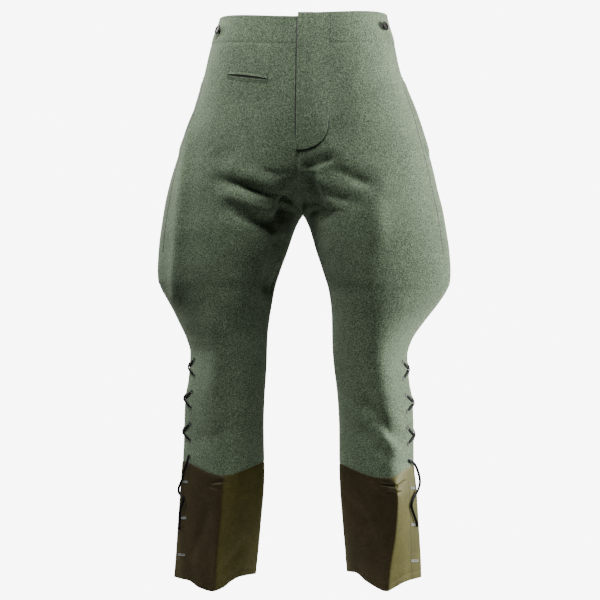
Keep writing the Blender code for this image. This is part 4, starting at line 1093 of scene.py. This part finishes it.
CuffFold = namedtuple("CuffFold", "side face u0 z0 u1 z1 width depth")
CUFF_FOLDS = table_of(
    CuffFold,
    (-1, "front", 0.42, -0.7900, 0.52, -0.7880, 0.0020, -0.0009),
    (-1, "front", 0.50, -0.7895, 0.60, -0.7935, 0.0022, -0.0012),
    (-1, "front", 0.46, -0.7970, 0.55, -0.7935, 0.0016, 0.0006),
    (-1, "front", 0.44, -0.7990, 0.50, -0.8030, 0.0020, -0.0009),
    (-1, "front", 0.52, -0.8020, 0.62, -0.7990, 0.0022, -0.0008),
    (-1, "front", 0.47, -0.8100, 0.51, -0.8050, 0.0024, -0.0006),
    (1, "front", 0.50, -0.7895, 0.65, -0.7910, 0.0022, -0.0034),
    (1, "front", 0.64, -0.7905, 0.79, -0.7845, 0.0018, -0.0014),
    (1, "front", 0.56, -0.7965, 0.68, -0.7985, 0.0022, 0.0013),
    (1, "front", 0.60, -0.8035, 0.68, -0.8010, 0.0022, -0.0008),
    (1, "front", 0.40, -0.8000, 0.53, -0.7960, 0.0026, -0.0008),
    (1, "front", 0.44, -0.8060, 0.55, -0.8110, 0.0030, -0.0006),
    (1, "front", 0.30, -0.8600, 0.42, -0.9100, 0.0120, -0.0014),
    (1, "front", 0.10, -0.8200, 0.30, -0.8500, 0.0100, -0.0012),
    (-1, "front", 0.62, -0.8500, 0.74, -0.9200, 0.0110, -0.0014),
    (-1, "front", 0.20, -0.9000, 0.36, -0.9350, 0.0100, -0.0012),
    (1, "back", 1.35, -0.8000, 1.55, -0.8060, 0.0040, -0.0014),
    (1, "back", 1.55, -0.8150, 1.72, -0.8110, 0.0045, -0.0010),
    (-1, "back", 1.40, -0.8020, 1.60, -0.7990, 0.0040, -0.0014),
    (-1, "back", 1.30, -0.8120, 1.48, -0.8160, 0.0050, -0.0010),
)


def cuff_relief(side, face, u, z):
    """Small puckers under the seam, soft dents and a slightly wavy hem."""
    total = np.zeros(u.shape)
    for fold in CUFF_FOLDS:
        if (fold.side, fold.face) != (side, face):
            continue
        span = np.array([(fold.u1 - fold.u0) * CUFF_HALF_GIRTH, fold.z1 - fold.z0])
        _, away = beside((u - fold.u0) * CUFF_HALF_GIRTH, z, (0, fold.z0), span)
        total += fold.depth * bell(away, fold.width)
    down = np.clip((CUFF_SEAM_Z - z) / (CUFF_SEAM_Z - HEM_Z), 0, 1)
    phase = 1.3 * side
    total += 0.0012 * np.sin(u * 17 + phase + down * 3) * down * (1 - down)
    total += 0.0008 * np.sin(u * 29 - phase + down * 7) * down**2
    return total


def cuff_columns(side, face, z):
    back_length = HALVES[side].length("back", z)[:, None]
    lap = np.linspace(0.06, 1, 8) * CUFF_LAP
    if face == "front":
        length = HALVES[side].length("front", z)[:, None]
        first = SEAM_GAP / 2 / length
        share = np.linspace(0, 1, 90)
        return np.concatenate([first + (1 - first) * share, 1 + lap / back_length], axis=1)
    near = np.concatenate([[0], lap, CUFF_LAP + np.linspace(0.1, 1, 10) * CUFF_FADE])
    near = near / back_length
    last = 1 - SEAM_GAP / 2 / back_length
    rest = near[:, -1:] + (last - near[:, -1:]) * np.linspace(0, 1, 70)[1:]
    return 1 + np.concatenate([near, rest], axis=1)


def cuff(side, face):
    share = np.unique(np.concatenate([
        clustered(1.0, 70, 0.006), np.linspace(0.04, 0.26, 40),
    ]))
    rows = CUFF_SEAM_Z + (HEM_Z - CUFF_SEAM_Z) * share
    u = cuff_columns(side, face, rows)
    share = share[:, None]
    top, bottom = cuff_seam_z(u) - SEAM_GAP / 2, hem_z(side, u)
    z = top + (bottom - top) * share
    half = HALVES[side]
    from_slit = (u - 1) * half.length("back", z)
    total = cuff_relief(side, face, u, z)
    sink = 0.0
    edge = np.full(u.shape, 1.0)
    if face == "front":
        total = total * smoothstep((CUFF_LAP - from_slit) / 0.01 + 0.2)
        edge = edge_roll(np.maximum(CUFF_LAP - from_slit, 0), COTTON_EDGE)
    else:
        inside = 1 - smoothstep((from_slit - CUFF_LAP - 0.001) / CUFF_FADE)
        sink = (COTTON + 0.0006) * inside
        total = total * (1 - inside)
    seam = sunk(CUFF_SEAM_GROOVE, top - z)
    hem_line = sunk(HEM_STITCH_GROOVE, z - bottom - HEM_STITCH_RISE)
    hem_roll = edge_roll(z - bottom, COTTON_EDGE)
    middle = total - sink - COTTON / 2
    half_thick = COTTON / 2 * hem_roll * edge
    outer = shell(side, u, z, middle + half_thick - seam - hem_line)
    inner = shell(side, u, z, middle - half_thick)
    node = f"cuff_{face}_{side_name(side)}"
    piece = wall(f"cotton_{node}", outer, inner, COTTON_FINISH, node)
    lap = CUFF_LAP if face == "front" else 0
    float(half.length(face, -0.9)) + lap + CUFF_ALLOWANCE


for side in (-1, 1):
    waistband(side)
    side_pocket(side)
    for face in ("front", "back"):
        leg_panel(side, face)
        cuff(side, face)
centre_back_allowance()
fly_panel()
watch_pocket()


# Lacing over the outer slit of each calf

def crossing(side, pair, over):
    """One stretch of lace from the slit's front edge to its back edge."""
    high = EYELET_TOP_Z - 2 * pair * EYELET_PITCH
    low = high - EYELET_PITCH
    start, end = (low, high) if over else (high, low)
    share = np.linspace(0, 1, 34)
    rise = np.sin(math.pi * share)
    lift = -0.0012 + 0.0024 * np.minimum(1, 2.2 * rise) + (0.0012 if over else 0) * rise**4
    wobble = 0.0012 * math.sin(2.1 * pair + side + over) * rise
    around = 2 * EYELET_INSET * share
    z = start + (end - start) * share + wobble
    route = off_leg(side, around, z, lift)
    normals = unit(off_leg(side, around, z, lift + 0.01) - route)
    ribbon(f"lace_{'over' if over else 'under'}_{side_name(side)}_{pair + 1}", route, normals)


def eyelets(side):
    """Worked eyelets on both edges of the slit, seven on each."""
    bm = bmesh.new()
    for arc in (-EYELET_INSET, EYELET_INSET):
        for k in range(EYELET_COUNT):
            z = EYELET_TOP_Z - k * EYELET_PITCH
            u = off_seam(side, arc, z)
            centre = Vector(shell(side, u, z, LIE))
            normal = (Vector(shell(side, u, z, 0.01)) - centre).normalized()
            turn = normal.to_track_quat("Z", "Y").to_matrix()
            rings = []
            for radius, rise in EYELET_PROFILE:
                ring = []
                for m in range(EYELET_STEPS):
                    angle = 2 * math.pi * m / EYELET_STEPS
                    reach = radius * (1 + 0.05 * (m % 2))
                    spot = Vector((reach * math.cos(angle), reach * math.sin(angle), rise))
                    ring.append(bm.verts.new(centre + turn @ spot))
                rings.append(ring)
            loft(bm, rings)
            bm.faces.new(rings[0])
            bm.faces.new(rings[-1][::-1])
    make(f"eyelets_{side_name(side)}", bm, DARK_THREAD_AND_SHADE)


for side in (-1, 1):
    for pair in range(EYELET_COUNT // 2):
        crossing(side, pair, False)
        crossing(side, pair, True)
    eyelets(side)


# Stitching

def stitch_row(bm, points, normals, width, height):
    """One stitch along each pair of points, as a small rounded bar."""
    for start, end, normal in zip(points[::2], points[1::2], normals[::2]):
        along = end - start
        across = np.cross(along, normal)
        across *= width / 2 / np.linalg.norm(across)
        up = normal * height
        rings = []
        for share, swell in ((0.0, 0.35), (0.22, 1.0), (0.78, 1.0), (1.0, 0.35)):
            centre = start + along * share
            corners = ((-1, -0.3), (-0.6, 0.75), (0.6, 0.75), (1, -0.3))
            rings.append(
                [bm.verts.new(centre + across * a * swell + up * b * swell) for a, b in corners]
            )
        loft(bm, rings)
        bm.faces.new(rings[0][::-1])
        bm.faces.new(rings[-1])


def seam_points(place, count, fill):
    """Start and end points of count stitches along a line given as place(share, height)."""
    starts = np.arange(count) / count
    shares = np.stack([starts, starts + fill / count], axis=1).ravel()
    low = place(shares, 0.0)
    return low, unit(place(shares, 0.002) - low)


def stitches(name, place, length, pitch=0.0026, fill=0.72, width=0.0006, height=0.0003,
             finish=WOOL_THREAD):
    """A row of stitches, of which each fills part of its pitch."""
    bm = bmesh.new()
    stitch_row(bm, *seam_points(place, max(1, round(length / pitch)), fill), width, height)
    make(name, bm, finish)


def on_fly(share, height):
    """The row of stitches along the fly's free edge."""
    z = LEFT_TOP_Z - 0.003 + (FLY_END_Z + 0.012 - LEFT_TOP_Z) * share
    return across_centre(FLY_STITCH_INSET - FLY_LAP, z, 0.0024 + height)


def on_fly_curve(share, height):
    """The seam line round the closed end, just off the fly's edge; its wide near-black stitches
    also paint the shadow under that edge.
    """
    turn = math.pi / 2 * share
    power = 2 / FLY_CURVE_POWER
    cos, sin = np.clip(np.cos(turn), 0, 1), np.sin(turn)
    arc = FLY_WIDTH * cos**power + 0.0009 * cos
    z = FLY_CURVE_Z + (FLY_END_Z - FLY_CURVE_Z) * sin**power - 0.0009 * sin
    return across_centre(arc, z, 0.0002 + height)


def on_fly_band(share, height):
    """The short seam of the fly's facing, which shows on the band."""
    z = LEFT_TOP_Z - 0.001 - 0.048 * share
    return across_centre(FLY_WIDTH + 0.0006, z, LIE + height)


def fly_gap_shade():
    """A near-black strip along the fly's free edge: painted shade in the gap under it."""
    z = np.linspace(LEFT_TOP_Z - 0.008, FLY_END_Z + 0.004, 150)[:, None]
    share = np.linspace(0, 1, 5)[None, :]
    wide = 0.0022 * smoothstep((z - FLY_END_Z) / 0.05)
    arc = -FLY_LAP + 0.0006 - (0.0006 + wide) * share
    z = np.repeat(z, 5, axis=1)
    outer, inner = across_centre(arc, z, 0.0003), across_centre(arc, z, 0.0)
    wall("fly_gap_shade", outer, inner, PAINTED_SHADE_FINISH)


def on_front(side, arc, top, bottom, rise):
    """A line down the front of one side, arc in front of the outer seam."""
    def place(share, height):
        z = top + (bottom - top) * share
        return shell(side, off_seam(side, -arc, z), z, rise + height)
    return place


def bartack(name, side, u, z, length, angle=0.0):
    """A short dense bar of thread lying along the cloth."""
    du = math.cos(angle) * length / float(HALVES[side].length("front", z))
    dz = math.sin(angle) * length

    def place(share, height):
        return shell(side, u + du * (share - 0.5), z + dz * (share - 0.5), 0.0006 + height)

    stitches(name, place, length, pitch=0.0009, fill=0.9, width=0.0018, height=0.0005)


stitches("stitch_fly", on_fly, 0.225)
stitches("seam_fly_band", on_fly_band, 0.050, fill=0.88, width=0.0011, height=0.0002,
         finish=DARK_THREAD_AND_SHADE)
# Wide near-black stitches: the seam round the fly's end, with painted shadow under its edge
stitches("stitch_and_shadow_fly_curve", on_fly_curve, 0.092, fill=0.90, width=0.0020, finish=DARK_THREAD_AND_SHADE)
fly_gap_shade()
for side in (-1, 1):
    where = side_name(side)
    pocket_line = on_front(
        side, POCKET_EDGE_WIDTH - 0.0025, POCKET_TOP_Z - 0.004, POCKET_BOTTOM_Z + 0.004,
        POCKET_STITCH_RISE,
    )
    stitches(f"stitch_side_pocket_{where}", pocket_line, 0.132)
    # A near-black band just inside the outline, drawn as a row of wide stitches: painted shade
    side_line = on_front(side, SIDE_LINE_ARC, SIDE_LINE_TOP_Z, SIDE_LINE_BOTTOM_Z, LIE)
    stitches(f"side_shade_line_{where}", side_line, 0.31, fill=0.96, width=0.0026,
             finish=PAINTED_SHADE_FINISH)
    for end, z in (("top", POCKET_TOP_Z - 0.001), ("bottom", POCKET_BOTTOM_Z + 0.001)):
        bartack(f"bartack_{end}_{where}", side, off_seam(side, -POCKET_BARTACK_ARC, z), z, 0.011)
for name, (x, z) in (("outer", WELT_OUTER), ("inner", WELT_INNER)):
    bartack(f"bartack_watch_{name}", -1, HALVES[-1].u_at_x(-x, z), z, 0.0125, math.pi / 2)


def on_welt(way):
    """A line along the outer edge of one of the watch pocket's welts, in near-black thread that
    also paints the shade line there.
    """
    def place(share, height):
        x, z, mouth = watch_line(share)
        z = z + way * (WELT_HEIGHT + 0.0006 + mouth)
        return shell(-1, right_front(x, z), z, LIE + height)
    return place


# Near-black stitches on each welt's outer edge: the seam, with a painted shade line
for name, way in (("upper", 1), ("lower", -1)):
    stitches(f"stitch_and_shade_welt_{name}", on_welt(way), 0.069, pitch=0.0024, fill=0.86, width=0.0008,
             height=0.0002, finish=DARK_THREAD_AND_SHADE)


Buttonhole = namedtuple("Buttonhole", "z arc length")
BUTTONHOLES = {
    -1: table_of(
        Buttonhole,
        (-0.797, 0.0170, 0.015), (-0.862, 0.0190, 0.017),
        (-0.928, 0.0225, 0.021),
    ),
    1: table_of(
        Buttonhole,
        (-0.800, 0.0130, 0.019), (-0.865, 0.0165, 0.020),
        (-0.929, 0.0200, 0.021),
    ),
}


def buttonholes(side):
    """Three worked buttonholes near the free edge of the front cuff."""
    for k, hole in enumerate(BUTTONHOLES[side]):
        length = float(HALVES[side].length("front", hole.z))
        middle = 1 - hole.arc / length

        def place(share, height, offset=0.0, hole=hole, middle=middle, length=length):
            spot = (share - 0.5) * hole.length
            up = offset * np.sqrt(np.clip(1 - (2 * share - 1) ** 6, 0, 1))
            z = hole.z - BUTTONHOLE_TILT * spot + up
            return shell(side, middle + spot / length, z, 0.0002 + height)

        bm = bmesh.new()
        # Stitches across both edges of the hole, then a bar at each end
        for offset in (0.0013, -0.0013):
            starts = np.linspace(0.02, 0.98, 20)
            low = place(starts, 0.0, offset * 0.35)
            high = place(starts, 0.0, offset * 1.7)
            points = np.stack([low, high], axis=1).reshape(-1, 3)
            twice = np.repeat(starts, 2)
            normals = unit(place(twice, 0.002, offset) - place(twice, 0.0, offset))
            stitch_row(bm, points, normals, 0.00075, 0.0005)
        for share in (np.array([0.0]), np.array([1.0])):
            spot = place(share, 0.0)
            ends = spot + np.array([[0, 0, -0.002], [0, 0, 0.002]])
            stitch_row(bm, ends, unit(place(share, 0.002) - spot), 0.0010, 0.0006)
        make(f"buttonhole_{k + 1}_{side_name(side)}", bm, PALE_THREAD)


for side in (-1, 1):
    buttonholes(side)
    placket_line = on_front(side, PLACKET_ARC, PLACKET_TOP_Z, PLACKET_BOTTOM_Z, LIE)
    stitches(f"stitch_placket_{side_name(side)}", placket_line, 0.176, finish=COTTON_THREAD)


# Brace buttons keep their solids and get their own finish
for name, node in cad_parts.items():
    if name.startswith("brace_button"):
        node.data.materials.clear()
        node.data.materials.append(BUTTON_FINISH.material)


# Light, backdrop and floor

BACKDROP_STRENGTH = 8.0
AMBIENT_STRENGTH = 0.033
FLOOR_Z = -1.22
FLOOR_RADIUS = 0.55


def area_light(name, place, aim, size, power, colour):
    data = bpy.data.lights.new(name, "AREA")
    data.shape = "RECTANGLE"
    data.size, data.size_y = size
    data.energy = power
    data.color = colour
    light = bpy.data.objects.new(name, data)
    light.location = place
    light.rotation_euler = (Vector(aim) - Vector(place)).to_track_quat("-Z", "Y").to_euler()
    bpy.context.scene.collection.objects.link(light)


# Name, place, aim, size, power and colour of each
area_light("key_right", (2.25, 0.42, -0.10), (0, 0, -0.41), (1.2, 1.3), 182, (1.0, 1.0, 0.98))
area_light("side_left", (-1.85, 0.80, 0.65), (0, 0, -0.25), (1.0, 1.0), 57, (1.0, 1.0, 0.98))
area_light("front_high", (-0.28, -0.80, 1.15), (0, 0, -0.1), (0.8, 0.5), 37, (1.0, 1.0, 1.0))


def make_world():
    world = bpy.data.worlds.new("studio")
    bpy.context.scene.world = world
    world.use_nodes = True
    tree = world.node_tree
    seen = tree.nodes.new("ShaderNodeBackground")
    set_sockets(seen, {"Color": (1.0, 1.0, 0.995, 1), "Strength": BACKDROP_STRENGTH})
    lit = tree.nodes["Background"]
    set_sockets(lit, {"Color": (1.0, 1.0, 1.0, 1), "Strength": AMBIENT_STRENGTH})
    path = tree.nodes.new("ShaderNodeLightPath")
    blend = tree.nodes.new("ShaderNodeMixShader")
    tree.links.new(path.outputs["Is Camera Ray"], blend.inputs["Fac"])
    tree.links.new(lit.outputs["Background"], blend.inputs[1])
    tree.links.new(seen.outputs["Background"], blend.inputs[2])
    tree.links.new(blend.outputs["Shader"], tree.nodes["World Output"].inputs["Surface"])


make_world()


def make_floor():
    bpy.ops.mesh.primitive_circle_add(
        vertices=96, radius=FLOOR_RADIUS, fill_type="NGON", location=(0, 0, FLOOR_Z)
    )
    floor = bpy.context.object
    floor.name = "floor"
    made, tree, shader = nodes_of("floor")
    grain = noise(tree, 30, 2.0, 0.5, position(tree))
    tone = ramp(tree, grain, (0.3, (0.78, 0.78, 0.77)), (0.7, (0.82, 0.82, 0.81)))
    tree.links.new(tone, shader.inputs["Base Color"])
    shader.inputs["Roughness"].default_value = 0.8
    floor.data.materials.append(made)


make_floor()
